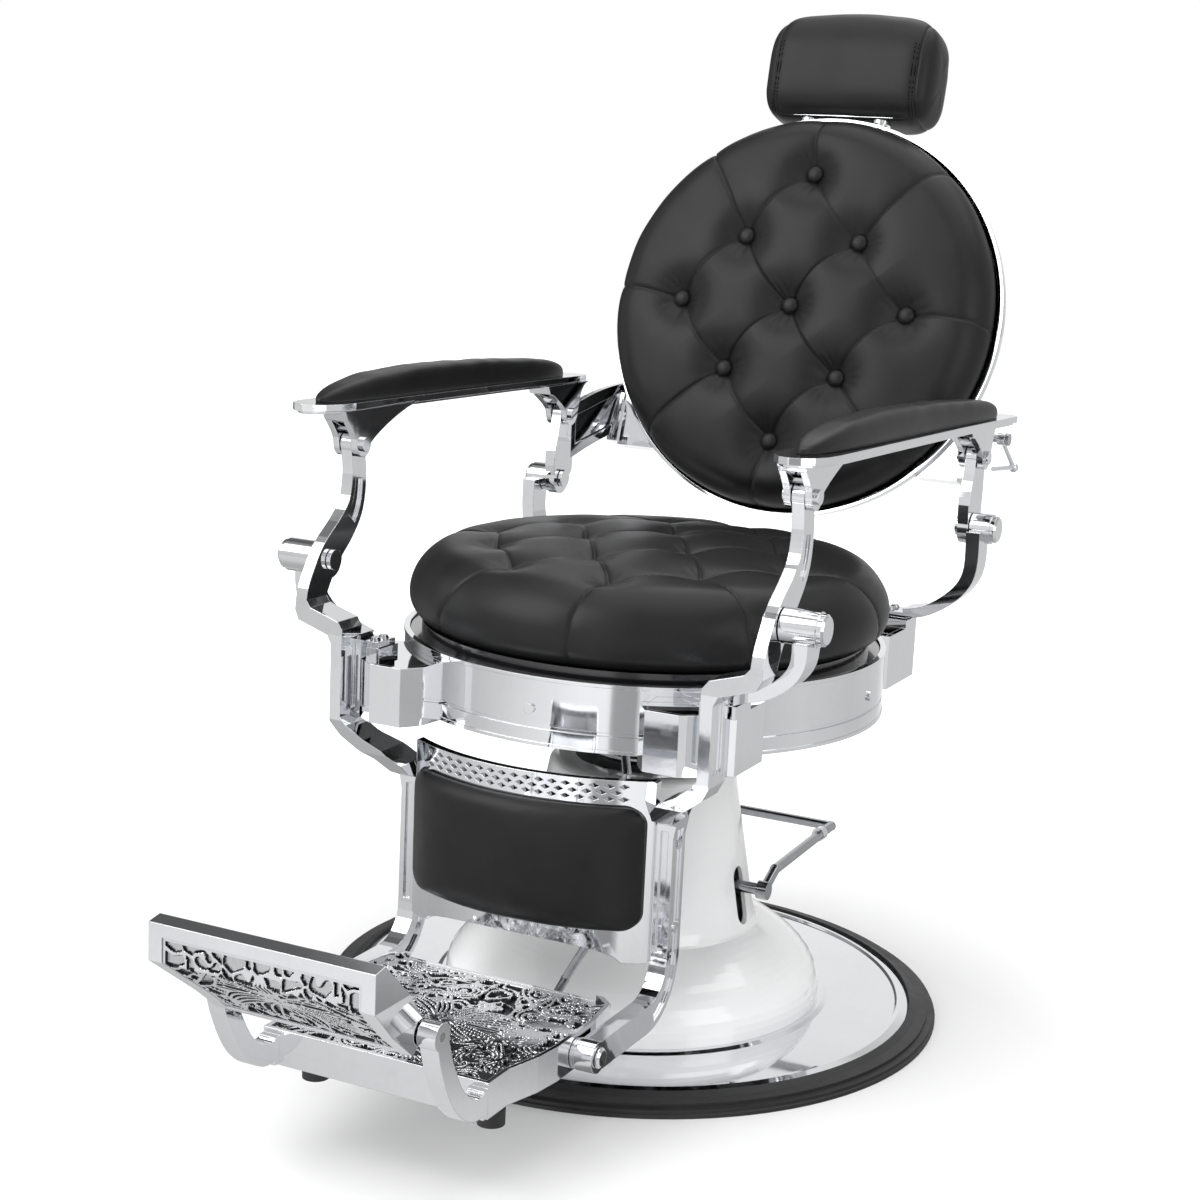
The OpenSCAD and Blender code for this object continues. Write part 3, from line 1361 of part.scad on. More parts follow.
module armrest_pad(left) {
    steps = 22;
    rounds = 14;
    pad_len = arm_len - 60;
    color("#1b1b1c") on_side(left) translate([0, 0, arm_plate_z]) rotate([arm_slope, 0, 0])
        translate([0, arm_front + 10, arm_t + seat_gap]) rotate([-90, 0, 0]) ring_skin(
            [for (i = [1:steps - 1]) let (f = (1 - cos(180 * i / steps)) / 2,
                    w = max(2, arm_half(min(0.95, 0.01 + f)) - 4) * pow(1 - pow(abs(2 * f - 1), 9), 0.5),
                    h = arm_pad_t * (0.72 + 0.28 * sin(180 * f)) * pow(1 - pow(abs(2 * f - 1), 7), 0.5) + 3)
                [for (j = [0:rounds - 1]) let (a = 360 * j / rounds,
                        u = cos(a), v = sin(a) > 0 ? pow(sin(a), 0.55) : -0.0)
                    [arm_line(f) + w * pow(abs(u), 0.6) * sign(u), -h * v, pad_len * f]]],
            [arm_line(0), -2, 1], [arm_line(1), -2, pad_len - 1]);
}

module armrest_pad_left() { armrest_pad(true); }
module armrest_pad_right() { armrest_pad(false); }

module armrest_pins(left) {
    reach = face_gap + ear_w + 1;
    color("#e4e6ea") on_side(left) {
        for (q = [[front_pin, lever_in], [rear_pin, arm_in]]) {
            bar_x(q[0][0], q[0][1], q[1] - reach, q[1] + lever_t + reach, pin_r);
            bar_x(q[0][0], q[0][1], q[1] - reach - 3, q[1] - reach + 1, pin_r + 2.5);
            bar_x(q[0][0], q[0][1], q[1] + lever_t + reach - 1, q[1] + lever_t + reach + 3, pin_r + 2.5);
        }
    }
}

module armrest_pins_left() { armrest_pins(true); }
module armrest_pins_right() { armrest_pins(false); }

// ---------- recline handle ----------

handle_axis = [386, rear_pin_z + 16];
handle_x = 303;
handle_r = 3;
handle_pin_r = 5;
knob_r = 6.5;
handle_end = handle_axis + [66, -44];
handle_rod = handle_end + [-92, 8];     // front end of the pull rod

module handle_pivot() {
    color("#9a9da2") {
        bar_x(handle_axis[0], handle_axis[1], handle_x - 40, handle_x + 8, handle_pin_r);
        bar_x(handle_axis[0], handle_axis[1], handle_x + 7, handle_x + 11, handle_pin_r + 3);
    }
}

function on_handle(p) = [handle_x, p[0], p[1]];

module handle_wire() {
    bent_rod([on_handle(handle_axis), on_handle(handle_end), on_handle(handle_rod)], handle_r);
}

module recline_handle() {
    color("#c9ccd1") difference() {
        union() {
            bar_x(handle_axis[0], handle_axis[1], handle_x - 4, handle_x + 6, 8);
            handle_wire();
        }
        bar_x(handle_axis[0], handle_axis[1], handle_x - 20, handle_x + 20, handle_pin_r + run_fit);
    }
}

module handle_knob() {
    color("#e4e6ea") difference() {
        translate(on_handle(handle_end)) sphere(r = knob_r);
        handle_wire();
    }
}

base_plate();
base_ring();
pump_cover();
pump_cylinder();
cylinder_bolts();
gland_nut();
pedal_bracket();
pedal_pivot_pin();
pedal_yoke();
foot_bar();
bar_collars();
piston_rod();
swivel_head();
thrust_washer();
seat_frame();
seat_apron();
seat_pan();
seat_cushion();
apron_screws();
front_bracket_left();
front_bracket_right();
rear_bracket_left();
rear_bracket_right();
bracket_screws();
pivot_pins();
link_upper_pin();
back_arm_left();
back_arm_right();
back_arm_bolts();
back_shell();
back_board();
back_cushion();
back_buttons();
headrest_guides();
headrest_posts();
headrest_pad();
armrest_left();
armrest_right();
armrest_pad_left();
armrest_pad_right();
armrest_pins_left();
armrest_pins_right();
handle_pivot();
recline_handle();
handle_knob();
leg_lever_left();
leg_lever_right();
calf_frame();
calf_board();
calf_pad();
calf_screws();
footrest_platform();
tread_plate();
footrest_arms();
bumper_feet();
platform_pins();
levelling_link();
flip_frame();
flip_insert();
flip_pins();
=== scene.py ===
"""Looks of the hydraulic barber chair: upholstery, cast relief, finishes, light and camera.

Lengths are millimetres in this script's own numbers, and become metres when a mesh, a finish or a
lamp is made. Z is up, the sitter faces -Y and the sitter's left is +X, as in the CAD model.
"""

import json
import math

import bpy
import numpy as np
from mathutils import Matrix, Vector


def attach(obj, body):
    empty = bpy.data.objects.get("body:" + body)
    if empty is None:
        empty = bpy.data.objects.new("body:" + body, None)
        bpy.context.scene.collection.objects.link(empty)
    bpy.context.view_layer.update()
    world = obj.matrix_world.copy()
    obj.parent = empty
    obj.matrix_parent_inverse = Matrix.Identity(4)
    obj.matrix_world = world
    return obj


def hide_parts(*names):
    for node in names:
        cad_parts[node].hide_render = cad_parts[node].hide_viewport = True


MM = 0.001
FAR = 1e9
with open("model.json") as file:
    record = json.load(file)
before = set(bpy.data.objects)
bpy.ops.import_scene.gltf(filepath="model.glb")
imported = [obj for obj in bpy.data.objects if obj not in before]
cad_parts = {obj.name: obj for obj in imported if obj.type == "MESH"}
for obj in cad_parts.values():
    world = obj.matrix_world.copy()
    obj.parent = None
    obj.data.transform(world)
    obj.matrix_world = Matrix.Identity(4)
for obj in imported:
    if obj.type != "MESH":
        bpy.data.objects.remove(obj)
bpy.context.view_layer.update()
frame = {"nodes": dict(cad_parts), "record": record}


# ---------- meshes ----------


def mesh_piece(name, points, faces, *finishes, face_finish=None, smooth=True):
    """A mesh object from points in millimetres. face_finish gives the number of the finish that
    each face has."""
    mesh = bpy.data.meshes.new(name)
    mesh.from_pydata((np.asarray(points, float) * MM).tolist(), [], faces)
    mesh.polygons.foreach_set("use_smooth", [smooth] * len(mesh.polygons))
    for made in finishes:
        mesh.materials.append(made)
    if face_finish is not None:
        mesh.polygons.foreach_set("material_index", np.asarray(face_finish, np.int32))
    mesh.update()
    piece = bpy.data.objects.new(name, mesh)
    bpy.context.scene.collection.objects.link(piece)
    return piece


def turns(around):
    """Angles of points spaced evenly round a circle."""
    return 2 * math.pi * np.arange(around) / around


def ring_quads(rings, around):
    """Quads between rings of `around` points each, which are numbered ring after ring."""
    i, j = np.meshgrid(np.arange(rings - 1), np.arange(around), indexing="ij")
    here, beside = i * around + j, i * around + (j + 1) % around
    return np.stack([here, beside, beside + around, here + around], -1).reshape(-1, 4)


def ring_faces(rings, around):
    """Faces of a skin of rings, with a fan at both ends. The points are the rings in order, then
    the middle of the first ring and of the last."""
    faces = ring_quads(rings, around).tolist()
    middle = rings * around
    last = middle - around
    for a in range(around):
        b = (a + 1) % around
        faces.append([middle, b, a])
        faces.append([middle + 1, last + a, last + b])
    return faces


def ring_points(rings):
    """Flattens rings of points and adds the middle of the first and the last ring."""
    rings = np.asarray(rings, float)
    return np.concatenate([rings.reshape(-1, 3), rings[:1].mean(1), rings[-1:].mean(1)])


def signed_power(value, power):
    return np.sign(value) * np.abs(value) ** power


def bezier(a, b, c, d, count):
    t = np.linspace(0, 1, count)[:, None]
    a, b, c, d = (np.asarray(p, float) for p in (a, b, c, d))
    return (1 - t) ** 3 * a + 3 * (1 - t) ** 2 * t * b + 3 * (1 - t) * t * t * c + t**3 * d


def run_along(line):
    """How far each point of a line is from its start, measured along it."""
    return np.concatenate([[0], np.cumsum(np.linalg.norm(np.diff(line, axis=0), axis=1))])


def waves(points, size, seed, octaves=3):
    """Smooth noise from sums of sines, about -1 to 1, with features of the given size."""
    rng = np.random.default_rng(seed)
    total = np.zeros(len(points))
    dim = points.shape[1]
    for octave in range(octaves):
        for _ in range(6):
            way = rng.normal(size=dim)
            length = np.linalg.norm(way) * size * rng.uniform(0.7, 1.5)
            way *= 2 * math.pi / length * 1.9**octave
            total += np.sin(points @ way + rng.uniform(0, 6.28)) * 0.33 * 0.5**octave
    return total


# ---------- creases and tufts ----------

RIM_STEPS = 34                     # points of a crease that runs out over the rim
CROWN_GAP = 0.012                  # share of the pattern that the middle of the crown closes
SMOOTH_FOOT = 18                   # nothing is drawn in this close to the foot of the side
GROOVE_WIDTH = 1.15
LIP, LIP_TURN, LIP_WIDTH = 0.55, 0.9, 5  # one side of a crease stands a little over the other
PULL, PULL_WIDTH = 0.72, 5.5       # how much the mesh closes up at a crease, and how near it
PLEATS = 13                        # pleats round a tuft
SLACK, SLACK_SIZE = 0.3, 110       # height and size of the leather's slow waves


def bowed(a, b, bow, count=22):
    """A shallow arc of points from a to b. It bows by `bow` to the left of that direction."""
    a, b = np.asarray(a, float), np.asarray(b, float)
    t = np.linspace(0, 1, count)[:, None]
    way = (b - a) / np.linalg.norm(b - a)
    return a + (b - a) * t + np.array([-way[1], way[0]]) * bow * 4 * t * (1 - t)


def to_rim(start, bearing, bow, rim):
    """A crease from start to the circle of radius rim, where it has that bearing in degrees."""
    turn = math.radians(bearing)
    return bowed(start, (rim * math.cos(turn), rim * math.sin(turn)), bow, RIM_STEPS)


def nearest_crease(points, creases):
    """For each point, the signed distance to the nearest crease, and the step to it."""
    best = np.full(len(points), FAR)
    signed = np.zeros(len(points))
    step = np.zeros_like(points)
    for crease in creases:
        a, d = crease[:-1], np.diff(crease, axis=0)
        length = (d**2).sum(1)
        for n in range(len(a)):
            rel = points - a[n]
            t = np.clip(rel @ d[n] / length[n], 0, 1)
            foot = rel - t[:, None] * d[n]
            dist = np.hypot(foot[:, 0], foot[:, 1])
            closer = dist < best
            if not closer.any():
                continue
            side = np.sign(d[n, 0] * rel[:, 1] - d[n, 1] * rel[:, 0])
            best = np.where(closer, dist, best)
            signed = np.where(closer, dist * side, signed)
            step = np.where(closer[:, None], -foot, step)
    return signed, step


class Quilt:
    """A round buttoned cushion: a profile turned about its axis, drawn in at tufts and creases.

    The profile is (radius, height) from the crown down the side. The pattern is laid out flat, with
    distances measured along the skin from the crown, so that creases can run down the side. tuft
    and valley are (depth, width) of the dips at a tuft and along a crease, gather is the strength
    of the pleats round a tuft, and groove is the depth of a crease's seam."""

    def __init__(self, profile, tufts, creases, tuft, valley, gather=3.2, groove=1.5):
        self.profile = np.asarray(profile, float)
        self.run = run_along(self.profile)
        self.reach = self.run[-1]
        slope = np.gradient(self.profile, self.run, axis=0)
        slope /= np.linalg.norm(slope, axis=1)[:, None]
        self.normal = np.stack([-slope[:, 1], slope[:, 0]], 1)
        self.tufts, self.creases = np.asarray(tufts, float), creases
        self.tuft, self.valley, self.gather, self.groove = tuft, valley, gather, groove

    def place(self, flat):
        """Points and outward normals in space, with the axis up, of points of the flat pattern."""
        reach = np.hypot(flat[:, 0], flat[:, 1])
        turn = np.arctan2(flat[:, 1], flat[:, 0])
        r, h, nr, nh = (np.interp(reach, self.run, v) for v in (*self.profile.T, *self.normal.T))
        size = np.hypot(nr, nh)
        nr, nh = nr / size, nh / size
        return (
            np.stack([r * np.cos(turn), r * np.sin(turn), h], 1),
            np.stack([nr * np.cos(turn), nr * np.sin(turn), nh], 1),
        )

    def depth(self, flat, signed):
        """How far each point is drawn in. signed is its signed distance to the nearest crease."""
        deep, wide = self.tuft
        fall, fade = self.valley
        away = np.linalg.norm(flat[:, None] - self.tufts[None], axis=2)
        near = away.min(1)
        turn = np.arctan2(*(flat - self.tufts[away.argmin(1)]).T)
        reach = np.hypot(flat[:, 0], flat[:, 1])
        foot = np.clip((self.reach - reach) / SMOOTH_FOOT, 0, 1)
        # Folds are about half as deep on the side as on the face.
        rise = 1 - np.clip((reach - 0.8 * self.reach) / (0.2 * self.reach), 0, 1) * 0.45
        pit = deep * np.exp(-((near / wide) ** 1.7))
        fold = fall * np.exp(-np.abs(signed) / fade) * rise
        line = self.groove * np.exp(-((signed / GROOVE_WIDTH) ** 2))
        lip = LIP * np.tanh(signed / LIP_TURN) * np.exp(-np.abs(signed) / LIP_WIDTH)
        pleats = self.gather * 0.16 * np.sin(PLEATS * turn + 2.2 * np.sin(3 * turn + near * 0.05))
        pleats *= np.exp(-(((near - wide * 0.75) / (wide * 0.38)) ** 2))
        slack = SLACK * waves(flat, SLACK_SIZE, 11, 2)
        return (pit + fold + line + lip + pleats + slack) * foot

    def skin(self, rings, around):
        """Rings of points from the foot of the side to near the crown."""
        share = np.linspace(1, 0, rings, endpoint=False) + CROWN_GAP
        share /= share[0]
        turn = turns(around)
        reach = share[:, None] * self.reach * np.ones(around)[None]
        flat = np.stack([reach * np.cos(turn), reach * np.sin(turn)], -1).reshape(-1, 2)
        signed, step = nearest_crease(flat, self.creases)
        # The mesh closes up at a crease, so that its fold stays sharp.
        pull = PULL * np.exp(-((signed / PULL_WIDTH) ** 2))
        edge = np.hypot(flat[:, 0], flat[:, 1]) > self.reach * 0.995
        flat = flat + step * np.where(edge, 0, pull)[:, None]
        signed, _ = nearest_crease(flat, self.creases)
        spot, normal = self.place(flat)
        spot = spot - normal * self.depth(flat, signed)[:, None]
        return spot.reshape(rings, around, 3)


def eased(profile, sigma, count=260):
    """The profile at even steps, with its corners softened over about sigma millimetres."""
    profile = np.asarray(profile, float)
    run = run_along(profile)
    even = np.linspace(0, run[-1], count)
    line = np.stack([np.interp(even, run, profile[:, k]) for k in (0, 1)], 1)
    step = even[1]
    width = int(3 * sigma / step)
    kernel = np.exp(-0.5 * (np.arange(-width, width + 1) * step / sigma) ** 2)
    kernel /= kernel.sum()
    # The line goes on past both ends: mirrored at the axis, and turned about its last point.
    before = line[1 : width + 1][::-1] * [-1, 1]
    after = 2 * line[-1] - line[-width - 1 : -1][::-1]
    padded = np.concatenate([before, line, after])
    return np.stack([np.convolve(padded[:, k], kernel, "valid") for k in (0, 1)], 1)


# ---------- nodes ----------


def feed(tree, socket, value):
    """Links an input to another node's output, or sets its value."""
    if isinstance(value, bpy.types.NodeSocket):
        tree.links.new(value, socket)
    else:
        socket.default_value = value


def add(tree, kind, inputs=None, **settings):
    """A shader node of that kind, with its inputs by name or number."""
    node = tree.nodes.new("ShaderNode" + kind)
    for key, value in settings.items():
        setattr(node, key, value)
    for key, value in (inputs or {}).items():
        feed(tree, node.inputs[key], value)
    return node


def calc(tree, operation, a, b):
    return add(tree, "Math", {0: a, 1: b}, operation=operation).outputs[0]


def spread(tree, value, low, high, start=0.3, end=0.7):
    """Maps values from start to end to the range from low to high."""
    span = {"Value": value, "From Min": start, "From Max": end, "To Min": low, "To Max": high}
    return add(tree, "MapRange", span).outputs[0]


def noise(tree, where, scale, detail, rough=0.5):
    inputs = {"Vector": where, "Scale": scale, "Detail": detail, "Roughness": rough}
    return add(tree, "TexNoise", inputs).outputs["Fac"]


def bump(tree, height, depth, normal):
    """A bump of that depth in millimetres, over the normal that is there already, if any."""
    inputs = {"Height": height, "Distance": depth * MM, "Strength": 1.0}
    if normal:
        inputs["Normal"] = normal
    return add(tree, "Bump", inputs).outputs[0]


def mixed(tree, share, first, second, blend="MIX"):
    """Two colours mixed. The colour sockets of a Mix node share their names with the others, so
    they are picked by type."""
    node = add(tree, "Mix", {"Factor": share}, data_type="RGBA", blend_type=blend)
    for socket, value in zip([s for s in node.inputs if s.type == "RGBA"], (first, second)):
        feed(tree, socket, value)
    return [s for s in node.outputs if s.type == "RGBA"][0]


def chosen(tree, share, first, second):
    """The first shader where share is 0, and the second where it is 1."""
    return add(tree, "MixShader", {0: share, 1: first, 2: second}).outputs[0]


def ramp(tree, value, stops):
    """A grey ramp of (position, brightness) stops."""
    node = add(tree, "ValToRGB", {"Fac": value})
    band = node.color_ramp
    while len(band.elements) < len(stops):
        band.elements.new(0.5)
    for element, (position, light) in zip(band.elements, stops):
        element.position = position
        element.color = (light, light, light, 1)
    return node.outputs["Color"]


# ---------- finishes ----------


def material(name):
    made = bpy.data.materials.new(name)
    made.use_nodes = True
    tree = made.node_tree
    tree.nodes.clear()
    out = add(tree, "OutputMaterial")
    shader = add(tree, "BsdfPrincipled")
    tree.links.new(shader.outputs[0], out.inputs["Surface"])
    return made, tree, shader


def shade(color, factor):
    return (*[min(1.0, c * factor) for c in color], 1.0)


def finish(name, color, rough, metallic=0.0, vary=0.1, blotch=60, bumps=(), edge=0.0, cells=None,
           **sockets):
    """A procedural finish. rough is (lowest, highest), vary is how far the colour strays, and
    blotch is the size in mm of the patches of both. bumps are layers of (size, depth) in mm, and
    cells is (size, depth) of a leather grain. edge is the radius in mm by which sharp edges are
    rounded off in the light, and sockets are values for other inputs of the shader."""
    made, tree, shader = material(name)
    where = add(tree, "TexCoord").outputs["Object"]
    patch = noise(tree, where, 1000 / blotch, 4.0, 0.55)
    fine = noise(tree, where, 9000 / blotch, 3.0, 0.6)
    both = calc(tree, "ADD", calc(tree, "MULTIPLY", patch, 0.7), calc(tree, "MULTIPLY", fine, 0.3))
    tone = spread(tree, both, 0.0, 1.0)
    feed(tree, shader.inputs["Base Color"],
         mixed(tree, tone, shade(color, 1 - vary), shade(color, 1 + vary)))
    feed(tree, shader.inputs["Roughness"], spread(tree, both, *rough))
    feed(tree, shader.inputs["Metallic"], metallic)
    for key, value in sockets.items():
        socket = key.replace("_", " ").title().replace("Ior", "IOR")
        feed(tree, shader.inputs[socket], value)
    normal = None
    if edge:
        normal = add(tree, "Bevel", {"Radius": edge * MM}, samples=4).outputs[0]
    for size, depth in bumps:
        normal = bump(tree, noise(tree, where, 1000 / size, 2.0), depth, normal)
    if cells:
        size, depth = cells
        grain = add(tree, "TexVoronoi", {"Vector": where, "Scale": 1000 / size},
                    feature="SMOOTH_F1")
        normal = bump(tree, grain.outputs["Distance"], depth, normal)
    if normal:
        feed(tree, shader.inputs["Normal"], normal)
    return made


FINISHES = {
    "chrome": finish("polished_chrome", (0.80, 0.81, 0.83), (0.03, 0.06), 1.0, 0.03, 90,
                     bumps=[(70, 0.12)], edge=0.9),
    "cast_chrome": finish("plated_casting", (0.80, 0.81, 0.83), (0.035, 0.075), 1.0, 0.04, 60,
                          bumps=[(38, 0.16), (9, 0.012)], edge=1.3),
    "tread": finish("cast_relief", (0.74, 0.75, 0.77), (0.06, 0.14), 1.0, 0.06, 30,
                    bumps=[(12, 0.05)], edge=0.6),
    "enamel": finish("white_enamel", (0.87, 0.875, 0.88), (0.16, 0.24), 0.0, 0.01, 120,
                     bumps=[(26, 0.05)], edge=1.0, coat_weight=1.0, coat_roughness=0.03),
    "upholstery": finish("black_leather", (0.0085, 0.0085, 0.009), (0.36, 0.44), 0.0, 0.18, 45,
                         bumps=[(3.2, 0.03)], cells=(1.1, 0.03), specular_ior_level=0.27),
    "rubber": finish("black_rubber", (0.016, 0.016, 0.017), (0.42, 0.6), 0.0, 0.2, 24,
                     bumps=[(1.6, 0.05)]),
    "lacquer": finish("black_lacquer", (0.006, 0.006, 0.007), (0.14, 0.24), 0.0, 0.15, 60,
                      edge=0.8, coat_weight=0.8, coat_roughness=0.05),
    "iron": finish("black_iron", (0.05, 0.05, 0.052), (0.38, 0.55), 0.7, 0.2, 20,
                   bumps=[(5, 0.06)], edge=0.8),
    "steel": finish("bright_steel", (0.46, 0.47, 0.49), (0.16, 0.26), 1.0, 0.08, 12,
                    bumps=[(3, 0.01)], edge=0.6),
    "brass": finish("dull_brass", (0.62, 0.46, 0.20), (0.2, 0.34), 1.0, 0.1, 14, edge=0.5),
    "board": finish("dark_board", (0.035, 0.030, 0.026), (0.6, 0.8), 0.0, 0.3, 8,
                    bumps=[(2, 0.08)]),
}
THREAD = finish("black_thread", (0.001, 0.001, 0.001), (0.6, 0.7), 0.0, 0.1, 3,
                specular_ior_level=0.05)
GROUND = finish("relief_ground", (0.60, 0.61, 0.62), (0.2, 0.34), 1.0, 0.12, 6,
                bumps=[(1.5, 0.03)])
# Painted shade: a dark metal laid on the walls of the ribs, and on the ground of the tread, where
# the relief is in shade.
PAINTED_SHADE = finish("relief_painted_shade", (0.05, 0.05, 0.055), (0.25, 0.4), 1.0, 0.2, 6,
                bumps=[(1.5, 0.03)])

for part in frame["record"]["subparts"]:
    piece = frame["nodes"][part["node"]]
    piece.data.materials.clear()
    piece.data.materials.append(FINISHES[part["material_slot"]])


def upholster(piece, body, *nodes, fill=0.7):
    """The piece takes the place of its CAD solids as upholstery: it rides with the body, and they
    are hidden.
    """
    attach(piece, body)
    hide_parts(*nodes)


# ---------- back ----------

BACK_CENTRE = (0, 388, 833)
BACK_TILT = math.radians(17)
BACK_REAR = 57                     # the rear edge of the cushion, behind its middle plane
BACK_FACE_R = 238
BACK_CROWN, BACK_EDGE = -15, 0.84  # the plain face at its middle and edge, behind that plane
BACK_MESH = (118, 500)             # rings, and points in each
BACK_RIM = 345
BUTTON_STEP = (80, 91)
BUTTON_R, BUTTON_HIGH = 12, 9.5
BUTTON_FOOT = 0.12                 # share of a button's rise that is its straight foot
BACK_TUFT = 22

# Start, bearing of the end in degrees, and bow of the creases that run out over the rim.
BACK_OUTER = (
    ((0, 182), 87, 12), ((80, 91), 47, 9), ((160, 0), -2, 5), ((80, -91), -44, -9),
    ((0, -182), -93, -7), ((-80, -91), 227, -10), ((-160, 0), 177, -4), ((-80, 91), 128, -9),
)


def on_back(points):
    """Points of the upright back, X across, Y to the rear and Z up, to where the back stands."""
    x, y, z = np.moveaxis(np.asarray(points, float), -1, 0)
    c, s = math.cos(BACK_TILT), math.sin(BACK_TILT)
    return np.stack(
        [x + BACK_CENTRE[0], y * c + z * s + BACK_CENTRE[1], z * c - y * s + BACK_CENTRE[2]], -1
    )


def to_back(points):
    """From (across, up the back, towards the sitter) to the upright back's own axes."""
    points = np.asarray(points, float)
    return np.stack([points[..., 0], BACK_REAR - points[..., 2], points[..., 1]], -1)


def back_face(r):
    """Distance of the plain front face behind the middle plane at radius r."""
    share = np.minimum(1, np.asarray(r, float) / BACK_FACE_R)
    return BACK_CROWN + (BACK_EDGE - BACK_CROWN) * share**2.4


def back_profile():
    """From the crown of the face over the round side to the rear edge, as (radius, height above
    the rear)."""
    r = np.linspace(0, BACK_FACE_R, 80)
    face = np.stack([r, BACK_REAR - back_face(r)], 1)
    side = bezier([BACK_FACE_R, BACK_REAR - BACK_EDGE], [266, BACK_REAR - 15.4], [270, 8],
                  [264, 0], 50)
    return eased(np.concatenate([face, side[1:]]), 7)


def back_creases(buttons):
    """Creases between neighbouring buttons, and from the outer ones out over the rim."""
    dx, dz = BUTTON_STEP
    found = []
    for x, z in buttons:
        for up, bow in ((dz, 11), (-dz, -6)):
            if (x + dx, z + up) in buttons:
                found.append(bowed((x, z), (x + dx, z + up), bow))
    return found + [to_rim(*crease, BACK_RIM) for crease in BACK_OUTER]


def dome(at, r, high, rings=9, around=40):
    """A covered button, round side up, with its foot at the given point."""
    turn = turns(around)
    made = []
    for t in np.linspace(0, 1, rings):
        if t < BUTTON_FOOT:
            radius, rise = r * (0.93 + 0.6 * t), high * t * 1.6
        else:
            s = (t - BUTTON_FOOT) / (1 - BUTTON_FOOT) * 1.5
            radius, rise = r * math.cos(s) ** 0.72, high * (0.19 + 0.81 * math.sin(s))
        made.append(np.stack([at[0] + radius * np.cos(turn), at[1] + radius * np.sin(turn),
                              np.full(around, at[2] + rise)], 1))
    return ring_points(made), ring_faces(rings, around)


def make_back():
    dx, dz = BUTTON_STEP
    buttons = [(i * dx, j * dz) for i in range(-2, 3) for j in range(-2, 3)
               if abs(i) + abs(j) <= 2 and (i + j) % 2 == 0]
    quilt = Quilt(back_profile(), buttons, back_creases(buttons), (BACK_TUFT - 1.5, 30), (3.4, 17))
    points = ring_points(quilt.skin(*BACK_MESH))
    skin = mesh_piece("back_quilt", on_back(to_back(points)), ring_faces(*BACK_MESH),
                      FINISHES["upholstery"])
    upholster(skin, "back", "back_cushion", fill=0.75)
    points, faces = [], []
    for x, z in buttons:
        foot = BACK_REAR - (float(back_face(math.hypot(x, z))) + BACK_TUFT + 0.3)
        p, f = dome((x, z, foot), BUTTON_R, BUTTON_HIGH)
        faces += [[n + len(points) * len(p) for n in face] for face in f]
        points.append(p)
    covered = mesh_piece("back_covered_buttons", on_back(to_back(np.concatenate(points))), faces,
                         FINISHES["upholstery"])
    upholster(covered, "back", "back_buttons", fill=0.95)


make_back()

# ---------- seat ----------

SEAT_CENTRE = (0, -5, 471.3)
SEAT_R, SEAT_T = 279, 106
SEAT_MESH = (128, 520)
SEAT_RIM = 372
SEAT_STEP = (70, 96)
SEAT_TUFT_BACK = 57                # how far the middle tuft lies behind the centre
SEAT_TUFTS_IN = 252                # tufts of the lattice lie within this radius
SEAT_TURN = math.radians(4)
SEAT_CLOSER, SEAT_CLOSING = 185, 0.62   # beyond this radius the lattice is drawn in, to this share

# Tuft, bearing of the end in degrees, and bow of the creases that run out over the rim.
SEAT_OUTER = (
    ((1, -3), -82.5, -9), ((2, -2), -42, 8), ((3, -1), 6, 10), ((1, 1), 51, 6),
    ((0, 2), 96, 6), ((-1, 1), 141, 6), ((-3, -1), 186, 8), ((-1, -3), 234, 10),
)


def seat_profile():
    """From the crown down the bulging side to the foot, as (radius, height)."""
    edge = (SEAT_R - 34, SEAT_T * 0.84)
    r = np.linspace(0, edge[0], 80)
    top = np.stack([r, edge[1] + (SEAT_T - edge[1]) * (1 - (r / edge[0]) ** 2.2)], 1)
    side = bezier(edge, (SEAT_R + 19, SEAT_T * 0.62), (SEAT_R + 17, 4), (SEAT_R - 14, 0), 50)
    return eased(np.concatenate([top, side[1:]]), 8)


def seat_tufts():
    """Places of the tufts in the flat pattern by their place in the lattice, which is turned a
    little and drawn in near the rim."""
    found = {}
    for i in range(-3, 4):
        for j in range(-3, 4):
            x, y = i * SEAT_STEP[0], SEAT_TUFT_BACK + j * SEAT_STEP[1]
            r, a = math.hypot(x, y), math.atan2(y, x) - SEAT_TURN
            if (i + j) % 2 or r >= SEAT_TUFTS_IN:
                continue
            if r > SEAT_CLOSER:
                r = SEAT_CLOSER + (r - SEAT_CLOSER) * SEAT_CLOSING
            found[i, j] = (r * math.cos(a), r * math.sin(a))
    return found


def make_seat():
    tufts = seat_tufts()
    creases = []
    for (i, j), spot in tufts.items():
        for beside, bow in (((i + 1, j + 1), 5), ((i + 1, j - 1), 3)):
            if beside in tufts:
                creases.append(bowed(spot, tufts[beside], bow))
    creases += [to_rim(tufts[key], turn, bow, SEAT_RIM) for key, turn, bow in SEAT_OUTER]
    quilt = Quilt(seat_profile(), list(tufts.values()), creases, (7.0, 26), (2.0, 15),
                  gather=1.4, groove=1.5)
    points = ring_points(quilt.skin(*SEAT_MESH)) + np.array(SEAT_CENTRE)
    skin = mesh_piece("seat_quilt", points, ring_faces(*SEAT_MESH), FINISHES["upholstery"])
    upholster(skin, "seat", "seat_cushion", fill=0.8)


make_seat()

# ---------- headrest ----------

